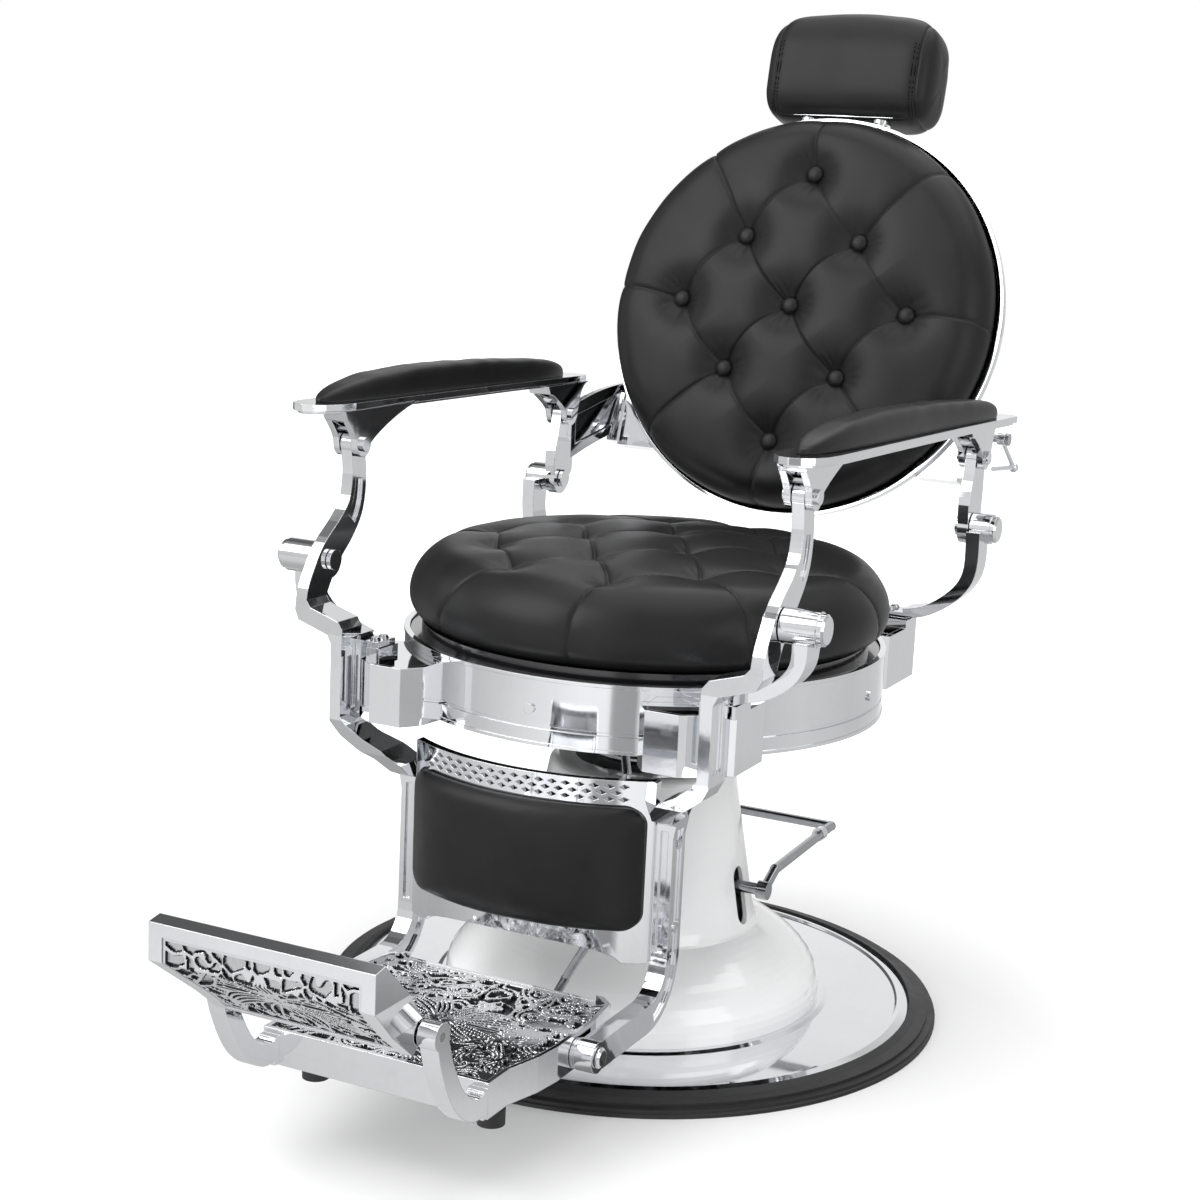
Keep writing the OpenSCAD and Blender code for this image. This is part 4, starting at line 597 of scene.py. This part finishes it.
HEAD_W, HEAD_D, HEAD_H = 243, 110, 154
HEAD_FOOT, HEAD_Y = 276.8, 102     # the pillow's foot, above and behind the back's centre
HEAD_SEAM = 103                    # distance of the two end seams from the middle
HEAD_MESH = (170, 180)
HEAD_MIDDLE = np.array([0, 0, HEAD_H / 2])
HEAD_UNDER = 1.03                  # angle below the front at which the lower seam runs, in radians
HEAD_ENDS = 0.985                  # share of a quarter turn over which the rings are spaced
STITCH = 4.8                       # length of a stitch with its gap
STITCH_ROWS = (3.2, 8.0)           # distance of the rows from the seam
STITCH_TURN = STITCH / 66          # the angle that a stitch with its gap takes up
STITCH_FROM, STITCH_TO = -0.98, 0.30    # angles between which the rows run, 0 at mid height
STITCH_WIDE, STITCH_HIGH, STITCH_DEEP = 0.7, 0.85, 0.4


def head_point(x, turn):
    """A point of the headrest's plain skin at distance x from the middle. turn 0 is the front, a
    quarter turn is the top."""
    u = np.abs(x) / (HEAD_W / 2)
    close = np.maximum(0.0, 1 - u**9) ** 0.42
    rise, fore = np.sin(turn), np.cos(turn)
    # The bottom is squarer than the top, and the top falls towards the ends.
    half = (HEAD_H - 13 * u**2.4) / 2
    z = half + signed_power(rise, np.where(rise < 0, 0.46, 0.66)) * half * (0.30 + 0.70 * close)
    f = z / HEAD_H
    # The pillow is thickest at mid height, leans forward and is a little hollow in front.
    y = -signed_power(fore, 0.62) * HEAD_D / 2 * (0.16 + 0.84 * close)
    y = y * (1 - 0.16 * np.abs(2 * f - 0.95) ** 2.5)
    hollow = 5 * (1 - u * u) * (fore > 0) * fore
    y = y - 9 * f + 5 + hollow
    return np.stack([x + 0 * turn, y, z], -1)


def head_inset(x, turn):
    """How far the skin is drawn in by the seams and by the slack of the leather."""
    away = np.abs(x) - HEAD_SEAM
    sink = 1.7 * np.exp(-((away / 1.2) ** 2)) + 1.3 * np.exp(-((away / 8) ** 2))
    under = np.arctan2(np.sin(turn + HEAD_UNDER), np.cos(turn + HEAD_UNDER)) * HEAD_H / 2
    sink += 1.3 * np.exp(-((under / 1.6) ** 2)) * (np.abs(x) < HEAD_SEAM)
    return sink + 0.5 * waves(np.stack([x, 70 * np.cos(turn), 70 * np.sin(turn)], -1), 95, 5, 2)


def head_skin(x, turn, proud=0.0):
    """Points of the drawn-in skin, or standing proud of it by so many millimetres."""
    x, turn = np.broadcast_arrays(np.asarray(x, float), np.asarray(turn, float))
    x, turn = x.ravel(), turn.ravel()
    spot = head_point(x, turn)
    away = spot - HEAD_MIDDLE
    away[:, 0] *= 0.25
    away /= np.linalg.norm(away, axis=1)[:, None]
    return spot - away * (head_inset(x, turn) - proud)[:, None]


def stitch(start, end, side):
    """Points of one stitch, pointed at both ends: four round its start, its middle and its end."""
    across = np.array([side * STITCH_WIDE, 0, 0])
    made = []
    for spot, shrink in ((start, 0.6), ((start + end) / 2, 1.0), (end, 0.6)):
        out = (spot - HEAD_MIDDLE) * [0.1, 1, 1]
        out = out / np.linalg.norm(out)
        made += [spot - across * shrink, spot + out * (STITCH_HIGH * shrink),
                 spot + across * shrink, spot - out * STITCH_DEEP]
    return made


def make_stitches():
    """Two rows of stitches on the front panel beside each end seam, from the middle down."""
    shape = [[k + n, k + (n + 1) % 4, k + 4 + (n + 1) % 4, k + 4 + n]
             for k in (0, 4) for n in range(4)] + [[3, 2, 1, 0], [8, 9, 10, 11]]
    points, faces = [], []
    for side in (-1, 1):
        for row in STITCH_ROWS:
            for turn in np.arange(STITCH_FROM, STITCH_TO, STITCH_TURN):
                reach = np.array([turn, turn + 0.5 * STITCH_TURN])
                start, end = head_skin(side * (HEAD_SEAM - row), reach, 0.15)
                faces += [[len(points) + n for n in face] for face in shape]
                points += stitch(start, end, side)
    points = np.array(points) + np.array([0, HEAD_Y, HEAD_FOOT])
    rows = mesh_piece("headrest_stitches", on_back(points), faces, THREAD)
    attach(rows, "headrest")


def make_headrest():
    rings, around = HEAD_MESH
    xs = np.sin(np.linspace(-1, 1, rings) * math.pi / 2 * HEAD_ENDS)
    xs = (HEAD_W / 2) * xs / math.sin(math.pi / 2 * HEAD_ENDS) * 0.9995
    # The rings close up at the end seams, so that these stay sharp.
    pull = np.exp(-(((np.abs(xs) - HEAD_SEAM) / 6) ** 2))
    xs = xs + np.sign(xs) * (HEAD_SEAM - np.abs(xs)) * 0.6 * pull
    made = head_skin(xs[:, None], turns(around)[None]).reshape(rings, around, 3)
    points = ring_points(made) + np.array([0, HEAD_Y, HEAD_FOOT])
    pad = mesh_piece("headrest_pillow", on_back(points), ring_faces(rings, around),
                     FINISHES["upholstery"])
    upholster(pad, "headrest", "headrest_pad", fill=0.9)
    make_stitches()


make_headrest()

# ---------- armrest pads ----------

ARM_PLATE_Z, ARM_SLOPE = 714, math.radians(1.2)
ARM_FRONT = -320
ARM_LINE = (291, 306)              # the pad's middle line from the chair's, front and rear
ARM_HALF = (32, 23)                # half width of the armrest, front and rear
ARM_TOP = 11.3
ARM_PAD_FRONT, ARM_PAD_LEN = 33, 616  # where the pad starts behind the armrest's front end
ARM_PAD_T, ARM_PAD_IN = 32, 6
ARM_BLUNT = (4.2, 9)               # bluntness of the pad's front and rear end


def arm_half(f):
    return ARM_HALF[0] + (ARM_HALF[1] - ARM_HALF[0]) * np.minimum(1, f * 1.5)


def make_arm_pad(side):
    rings, around = 150, 72
    turn = turns(around)
    up = np.sin(turn)
    made = []
    for s in (1 - np.cos(np.pi * (np.arange(rings) + 0.6) / (rings + 0.2))) / 2:
        blunt = max(0.0, 1 - abs(2 * s - 1) ** ARM_BLUNT[0 if s < 0.5 else 1]) ** 0.5
        w = (float(arm_half(min(0.95, 0.03 + s))) - ARM_PAD_IN) * blunt + 0.4
        h = ARM_PAD_T * (0.66 + 0.34 * math.sin(math.pi * s**0.8)) * blunt + 1.5
        line = ARM_LINE[0] + (ARM_LINE[1] - ARM_LINE[0]) * s
        z = np.where(up > 0, h * np.abs(up) ** 0.62, 0)
        x = w * signed_power(np.cos(turn), 0.5) * np.where(up > 0, 1, 0.94)
        pinch = 1 - 0.05 * np.exp(-((z - 2) / 3) ** 2)
        made.append(np.stack([line + x * pinch, np.full(around, ARM_PAD_LEN * s), z], 1))
    made = np.array(made)
    slack = 0.45 * waves(made.reshape(-1, 3), 90, 3).reshape(rings, around)
    made[..., 2] += np.where(made[..., 2] > 6, slack, 0)
    points = ring_points(made) + np.array([0, ARM_FRONT + ARM_PAD_FRONT, ARM_TOP])
    x, y, z = points.T
    c, s = math.cos(ARM_SLOPE), math.sin(ARM_SLOPE)
    points = np.stack([side * x, y * c + z * s, z * c - y * s + ARM_PLATE_Z], 1)
    faces = ring_faces(rings, around)
    if side < 0:
        faces = [face[::-1] for face in faces]
    name = "left" if side > 0 else "right"
    pad = mesh_piece(f"armrest_upholstery_{name}", points, faces, FINISHES["upholstery"])
    upholster(pad, f"{name}_armrest", f"armrest_pad_{name}", fill=0.9)


make_arm_pad(1)
make_arm_pad(-1)

# ---------- calf pad ----------

CALF_R, CALF_CENTRE = 273.2, -57.5 # radius of the curved board's face, and where its axis lies
CALF_LOW, CALF_H, CALF_HALF = 196, 138, 144
CALF_T, CALF_ROUND = 22, 20


def calf_outline(nx=60, nz=28, round_steps=10):
    """The pad's outline, (across, up) from its middle, with nx and nz steps on its sides."""
    hx, hz = CALF_HALF - CALF_ROUND, CALF_H / 2 - CALF_ROUND
    loop = []
    for cx, cz, start, steps, (wx, wz) in (
            (hx, hz, 0, nx, (-1, 0)), (-hx, hz, 90, nz, (0, -1)),
            (-hx, -hz, 180, nx, (1, 0)), (hx, -hz, 270, nz, (0, 1))):
        for k in range(round_steps + 1):
            a = math.radians(start + 90 * k / round_steps)
            loop.append((cx + CALF_ROUND * math.cos(a), cz + CALF_ROUND * math.sin(a)))
        span = 2 * (hx if wx else hz)
        x, z = loop[-1]
        loop += [(x + wx * span * k / steps, z + wz * span * k / steps) for k in range(1, steps)]
    return np.array(loop)


def make_calf_pad():
    """Rings from the middle of the flat rear out to the edge, and in again over the face."""
    rows = 26
    loop = calf_outline()
    mid_z = CALF_LOW + CALF_H / 2
    made = []
    for k in range(1, 2 * rows + 1):
        front = k > rows
        share = math.sin(math.pi / 2 * (2 * rows + 1 - k if front else k) / rows)
        rise = CALF_T * math.sqrt(max(0.0, 1 - (0.985 * share) ** 5)) if front else 0.0
        x, z = loop[:, 0] * share, loop[:, 1] * share
        skin = CALF_R + rise
        made.append(np.stack([x, CALF_CENTRE - np.sqrt(skin**2 - x**2), mid_z + z], 1))
    made = np.array(made)
    face = made[rows:].reshape(-1, 3)
    made[rows:, :, 1] += (0.5 * waves(face, 80, 8)).reshape(rows, -1)
    pad = mesh_piece("calf_upholstery", ring_points(made), ring_faces(2 * rows, len(loop)),
                     FINISHES["upholstery"])
    upholster(pad, "legrest", "calf_pad", fill=0.8)


make_calf_pad()

# ---------- cast relief of the two treads ----------

GROUND_SHARE, TOP_SHARE = 0.06, 0.80    # of the relief's height: ground below, rib tops above


def web_distance(points, seed, count, low, high, warp):
    """Distance to a web of cell walls round seeded places, on warped ground."""
    rng = np.random.default_rng(seed)
    bent = points + warp * np.stack([waves(points, 46, seed + n, 2) for n in (1, 2)], 1)
    places = rng.uniform(low, high, size=(count, 2))
    for _ in range(4):  # the places spread evenly
        sample = rng.uniform(low, high, size=(4000, 2))
        owner = ((sample[:, None] - places[None]) ** 2).sum(2).argmin(1)
        places = np.array([sample[owner == k].mean(0) if (owner == k).any() else places[k]
                           for k in range(count)])
    first = np.full(len(points), FAR)
    second = np.full(len(points), FAR)
    for place in places:
        d = np.hypot(*(bent - place).T)
        second = np.where(d < first, first, np.minimum(second, d))
        first = np.minimum(first, d)
    return (second - first) / 2


def petals(points, shapes):
    """Distance to the strokes of petals, and whether a point lies inside one. Each shape is
    (start, tip, bow, half width, strokes), with the strokes as shares of the half width."""
    best, inside = np.full(len(points), FAR), np.zeros(len(points), bool)
    for start, tip, bow, half, strokes in shapes:
        start, way = np.asarray(start, float), np.asarray(tip, float) - start
        length = np.hypot(*way)
        rel = points - start
        run = rel @ way / length
        t = np.clip(run / length, 0, 1)
        swell = 4 * t * (1 - t)
        side = (way[0] * rel[:, 1] - way[1] * rel[:, 0]) / length - bow * swell
        wide = half * swell**0.7
        over = np.maximum(0, np.maximum(-run, run - length))
        near = np.min([np.hypot(side - share * wide, over) for share in strokes], axis=0)
        within = (np.abs(side) < wide) & (over == 0)
        best = np.where(within, near, np.minimum(best, near))
        inside |= within
    return best, inside


def mirror_petals(shapes):
    """Each shape on both sides of the middle line."""
    return [((side * start[0], start[1]), (side * tip[0], tip[1]), side * bow, half, strokes)
            for side in (-1, 1) for start, tip, bow, half, strokes in shapes]


def flow_lines(points, size, seed, pitch):
    """Distance to level lines of smooth noise: strokes that run side by side and curl."""
    def level(at):
        return waves(at, size, seed, 2)
    here, step = level(points), 0.5
    rise = np.hypot(level(points + [step, 0]) - here, level(points + [0, step]) - here) / step
    gap = pitch * 3.2 / size
    return np.abs(here - np.round(here / gap) * gap) / np.maximum(rise, 0.35 * gap / pitch)


def rib_height(distance, half, soft):
    """1 on a rib of that half width, falling smoothly to 0 beside it."""
    s = np.clip((distance - half) / soft, 0, 1)
    return 1 - s * s * (3 - 2 * s)


def relief(name, outline, step, height_of, place, base, *finishes):
    """A plate with a carved top. outline is its plan polygon, height_of gives the top's height at
    plan points, place turns (u, v, height) into space, and base is the height of its underside.
    The finishes are for the tops of the ribs, their walls and the ground between them. A dark
    finish given for the walls or the ground is painted shade."""
    outline = np.asarray(outline, float)
    (u0, v0), (u1, v1) = outline.min(0), outline.max(0)
    nu, nv = int((u1 - u0) / step) + 1, int((v1 - v0) / step) + 1
    # Each row runs from edge to edge of the outline, so the border is clean.
    rows = []
    for value in np.linspace(v0 + 1e-3, v1 - 1e-3, nv):
        cuts = []
        for a, b in zip(outline, np.roll(outline, -1, 0)):
            if (a[1] > value) != (b[1] > value):
                cuts.append(a[0] + (b[0] - a[0]) * (value - a[1]) / (b[1] - a[1]))
        cuts.sort()
        rows.append(np.stack([np.linspace(cuts[0], cuts[-1], nu), np.full(nu, value)], 1))
    flat = np.array(rows).reshape(-1, 2)
    high = height_of(flat)
    top = np.column_stack([flat, high])
    low = np.column_stack([flat, np.full(len(flat), base)])
    j, i = np.meshgrid(np.arange(nv - 1), np.arange(nu - 1), indexing="ij")
    here = j * nu + i
    quad = np.stack([here, here + 1, here + nu + 1, here + nu], -1).reshape(-1, 4)
    count = len(flat)
    faces = quad.tolist() + (quad[:, ::-1] + count).tolist()
    rise = (high[quad].mean(1) - high.min()) / np.ptp(high)
    number = np.select([rise < GROUND_SHARE, rise < TOP_SHARE], [2, 1], 0).tolist()
    number += [0] * len(quad)
    # The border's points in order, and the wall from them down to the underside.
    rim = [*range(nu), *(n * nu + nu - 1 for n in range(1, nv)),
           *((nv - 1) * nu + n for n in range(nu - 2, -1, -1)),
           *(n * nu for n in range(nv - 2, 0, -1))]
    for a, b in zip(rim, rim[1:] + rim[:1]):
        faces.append([b, a, a + count, b + count])
        number.append(0)
    return mesh_piece(name, place(np.concatenate([top, low])), faces, *finishes,
                      face_finish=number, smooth=False)


TREAD_HALF, TREAD_FRONT, TREAD_REAR = 141.7, -596.7, -339.5
TREAD_NOSE = 126.5                 # half width at the front
TREAD_BASE, TREAD_GROUND, TREAD_RELIEF = 119.05, 120.2, 3.8
TREAD_CELL = 1.1
TREAD_RAYS = [                     # tip, bow and half width of a petal that starts by the middle
    ((88, 0), 0, 9), ((82, 22), 5, 9), ((62, 40), 8, 9), ((30, 50), 6, 8),
    ((82, -22), -5, 9), ((62, -40), -8, 9), ((30, -50), -6, 8),
]


def tread_height(flat):
    """A rayed medallion among scrolls."""
    rays = [((6, 0), tip, bow, half, (-1, -0.33, 0.33, 1)) for tip, bow, half in TREAD_RAYS]
    leaf, within = petals(flat, mirror_petals(rays))
    scroll = rib_height(flow_lines(flat, 64, 21, 7.5), 1.6, 1.2)
    web = rib_height(web_distance(flat, 22, 90, (-150, -135), (150, 135), 12), 1.5, 1.2)
    outside = np.maximum(scroll, web)
    return np.maximum(rib_height(leaf, 1.3, 1.2), np.where(within, 0, outside))


def make_tread():
    half, front, rear, nose = TREAD_HALF, TREAD_FRONT, TREAD_REAR, TREAD_NOSE
    plan = [(-half + 21.5, rear), (half - 21.5, rear), (half - 6, -357), (half, -400),
            (half, -485), (half - 4, -520), (nose, -562), (nose, front), (-nose, front),
            (-nose, -562), (-half + 4, -520), (-half, -485), (-half, -400), (-half + 6, -357)]
    middle = np.array([0, (front + rear) / 2])

    def height_of(flat):
        x, y = flat.T
        inset = np.minimum(half - np.abs(x), np.minimum(y - front, rear - y))
        border = rib_height(np.abs(inset - 3), 3, 2)
        return TREAD_GROUND + TREAD_RELIEF * np.maximum(tread_height(flat - middle), border)

    # The ribs' walls and the ground between them take the dark painted shade.
    tread = relief("tread_relief", plan, TREAD_CELL, height_of, lambda p: p, TREAD_BASE,
                   FINISHES["tread"], PAINTED_SHADE, PAINTED_SHADE)
    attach(tread, "footrest")
    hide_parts("tread_plate")


make_tread()

FLIP_LINE = ((-798.5, 292.7), (-798.5, 268.0), (-716.3, 201.6))    # (y, z) down the insert's front
FLIP_HALF = (108.7, 95.2)
FLIP_BEND, FLIP_NARROW, FLIP_REACH = 24.7, 94.7, 130.4             # distances down that front
FLIP_BASE, FLIP_GROUND, FLIP_RELIEF = -3.8, -2.2, 3.1
FLIP_CELL = 0.9
FLIP_SPINE = ((0, 14), (0, 52), 0, 8, (-1, -0.35, 0.35, 1))
FLIP_PETALS = [
    ((2, 56), (50, 28), 9, 9, (-1, 0, 1)),
    ((3, 60), (84, 60), -8, 12, (-1, -0.45, 0.45, 1)),
    ((3, 64), (76, 112), -13, 13, (-1, -0.5, 0, 0.5, 1)),
    ((2, 68), (26, 124), -9, 10, (-1, 0, 1)),
    ((58, 22), (98, 74), 6, 7, (-1, 1)),
]


def flip_height(flat):
    """Petals about a spine, in a web that fills the rest."""
    leaf, within = petals(flat, [FLIP_SPINE] + mirror_petals(FLIP_PETALS))
    web = web_distance(flat, 31, 105, (-112, -4), (112, 134), 7)
    return np.maximum(rib_height(leaf, 1.4, 1.1), np.where(within, 0, rib_height(web, 1.7, 1.1)))


def on_flip(points):
    """(across, down the front, proud of it) to space."""
    down, proud = points[:, 1:2], points[:, 2:3]
    line = np.asarray(FLIP_LINE)
    slope = line[2] - line[1]
    slope = slope / np.hypot(*slope)
    # The front is upright above the bend, and its outward direction turns over 10 mm at the bend.
    blend = np.clip((down - FLIP_BEND + 5) / 10, 0, 1)
    spot = np.where(down < FLIP_BEND, line[0] + np.array([0.0, -1.0]) * down,
                    line[1] + slope * (down - FLIP_BEND))
    out = (1 - blend) * [-1.0, 0.0] + blend * np.array([slope[1], -slope[0]])
    return np.column_stack([points[:, 0], spot + out / np.hypot(*out.T)[:, None] * proud])


def make_flip_insert():
    wide, narrow = FLIP_HALF
    plan = [(-wide, 0), (wide, 0), (wide, FLIP_BEND), (narrow, FLIP_NARROW),
            (narrow, FLIP_REACH), (-narrow, FLIP_REACH), (-narrow, FLIP_NARROW),
            (-wide, FLIP_BEND)]

    def height_of(flat):
        x, y = flat.T
        half = np.interp(y, (FLIP_BEND, FLIP_NARROW), (wide, narrow))
        inset = np.minimum(half - np.abs(x), np.minimum(y, FLIP_REACH - y))
        border = rib_height(np.abs(inset - 1.4), 1.4, 0.9)
        return FLIP_GROUND + FLIP_RELIEF * np.maximum(flip_height(flat), border)

    # The ribs' walls take the dark painted shade; the ground is a lighter, duller metal.
    insert = relief("flip_relief", plan, FLIP_CELL, height_of, on_flip, FLIP_BASE,
                    FINISHES["tread"], PAINTED_SHADE, GROUND)
    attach(insert, "flip_rest")
    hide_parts("flip_insert")


make_flip_insert()

# ---------- camera ----------

CAMERA_AT = (1099.8, -2374.2, 1026.6)
CAMERA_LENS = 66.64
CAMERA_RIGHT = (0.8923, 0.4491, 0.0450)
CAMERA_UP = (-0.1292, 0.1588, 0.9788)


def make_camera():
    lens = bpy.data.cameras.new("camera")
    lens.sensor_width = 36
    lens.lens = CAMERA_LENS
    camera = bpy.data.objects.new("camera", lens)
    bpy.context.scene.collection.objects.link(camera)
    right = Vector(CAMERA_RIGHT).normalized()
    back = right.cross(Vector(CAMERA_UP)).normalized()
    up = back.cross(right)
    turn = Matrix((right, up, back)).transposed().to_4x4()
    camera.matrix_world = Matrix.Translation(Vector(CAMERA_AT) * MM) @ turn
    bpy.context.scene.camera = camera


# ---------- light ----------

# Brightness of the studio in polished metal, against its bearing from the chair in degrees.
FLAGS = (
    (-180, 0.75), (-176, 0.84), (-160, 0.64), (-143, 0.58), (-126, 0.70), (-109, 0.84),
    (-90, 0.98), (-79, 0.98), (-77, 0.38), (-67, 0.36), (-65, 1.0), (-56, 0.98), (-42, 0.66),
    (-25, 0.44), (-8, 0.62), (9, 0.66), (42, 0.58), (75, 0.62), (100, 0.95), (122, 0.95),
    (130, 0.16), (151, 0.10), (158, 0.16), (167, 0.45),
)
# The same against its height, from 0 straight down over 0.5 at the horizon to 1 straight up.
LEVELS = (
    (0.0, 0.6), (0.50, 0.85), (0.66, 0.95), (0.71, 0.80), (0.80, 0.72), (0.83, 0.95),
    (0.90, 1.0), (0.92, 0.40), (0.94, 0.40), (0.955, 1.0), (1.0, 1.0),
)
MIRRORED = 1.08                    # strength at which polished metal sees the studio
FLOOR_RINGS = (9000, 4000, 1500, 300)


def flags(tree, x, y):
    """The brightness that the flags give a direction or a place on the floor."""
    turn = spread(tree, calc(tree, "ARCTAN2", y, x), 0.0, 1.0, -math.pi, math.pi)
    return ramp(tree, turn, [((bearing + 180) / 360, light) for bearing, light in FLAGS])


def make_world():
    """A white studio. Polished metal sees it with grey flags and bands of other brightness."""
    world = bpy.data.worlds.new("studio")
    bpy.context.scene.world = world
    world.use_nodes = True
    tree = world.node_tree
    tree.nodes.clear()
    way = add(tree, "SeparateXYZ", {0: add(tree, "TexCoord").outputs["Generated"]}).outputs
    level = ramp(tree, spread(tree, way["Z"], 0.0, 1.0, -1.0, 1.0), LEVELS)
    studio = mixed(tree, 1.0, flags(tree, way["X"], way["Y"]), level, blend="MULTIPLY")
    glossy, plain, white = (
        add(tree, "Background", {"Color": color, "Strength": strength}).outputs[0]
        for color, strength in ((studio, MIRRORED), ((1, 1, 1, 1), 0.85), ((1, 1, 1, 1), 1.0)))
    path = add(tree, "LightPath").outputs
    seen = chosen(tree, path["Is Camera Ray"],
                  chosen(tree, path["Is Glossy Ray"], plain, glossy), white)
    add(tree, "OutputWorld", {"Surface": seen})


def make_floor():
    """A round pale floor that keeps the shadow and is white where nothing shades it."""
    floor_finish, tree, shader = material("pale_floor")
    path = add(tree, "LightPath").outputs
    where = add(tree, "TexCoord").outputs["Object"]
    # The floor glows for the camera, and more further out, so that it ends in plain white. The
    # distances here are in metres.
    shift = add(tree, "VectorMath", {0: where, 1: (0, 0.3, 0)}, operation="ADD").outputs[0]
    away = add(tree, "VectorMath", {0: shift}, operation="LENGTH").outputs["Value"]
    glow = calc(tree, "MULTIPLY", spread(tree, away, 0.05, 0.75, 0.65, 1.7), path["Is Camera Ray"])
    for socket, value in (("Base Color", (0.8, 0.8, 0.8, 1)), ("Roughness", 0.75),
                          ("Specular IOR Level", 0.2), ("Emission Color", (1, 1, 1, 1)),
                          ("Emission Strength", glow)):
        feed(tree, shader.inputs[socket], value)
    # Polished metal sees it with the studio's flags standing on it, and darker by the chair: a
    # painted shadow of the chair in the reflections.
    part = add(tree, "SeparateXYZ", {0: where}).outputs
    reach = add(tree, "VectorMath", {0: where}, operation="LENGTH").outputs["Value"]
    mirror = add(tree, "Emission", {"Color": flags(tree, part["X"], part["Y"]),
                                    "Strength": spread(tree, reach, 0.6, MIRRORED, 0.3, 1.4)})
    both = chosen(tree, path["Is Glossy Ray"], shader.outputs[0], mirror.outputs[0])
    feed(tree, tree.nodes["Material Output"].inputs["Surface"], both)
    around = 96
    turn = turns(around)
    points = np.concatenate([np.stack([r * np.cos(turn), r * np.sin(turn), np.zeros(around)], 1)
                             for r in FLOOR_RINGS])
    faces = ring_quads(len(FLOOR_RINGS), around).tolist()
    faces.append(list(range(len(points) - around, len(points))))
    floor = mesh_piece("studio_floor", points, faces, floor_finish, smooth=False)


def soft_box(name, at, aim, size, power, mirrored=True):
    """An area lamp at a point in millimetres, aimed at another. mirrored says whether polished
    metal shows it."""
    lamp = bpy.data.lights.new(name, "AREA")
    lamp.shape = "RECTANGLE"
    lamp.size, lamp.size_y = size[0] * MM, size[1] * MM
    lamp.energy = power
    box = bpy.data.objects.new(name, lamp)
    bpy.context.scene.collection.objects.link(box)
    box.location = Vector(at) * MM
    box.rotation_euler = (Vector(aim) - Vector(at)).to_track_quat("-Z", "Y").to_euler()
    box.visible_glossy = mirrored


def make_light():
    soft_box("key_box", (-1500, -1900, 2500), (0, 100, 600), (2200, 2200), 46)
    soft_box("fill_box", (2300, -700, 1300), (0, 0, 500), (1300, 1800), 11)
    soft_box("low_box", (-500, -2700, 500), (0, 0, 200), (2600, 900), 34, mirrored=False)
    soft_box("top_box", (200, 600, 3000), (0, 0, 400), (3200, 3200), 40)


make_camera()
make_world()
make_floor()
make_light()
bpy.context.scene.view_settings.view_transform = "Standard"

bpy.context.view_layer.update()
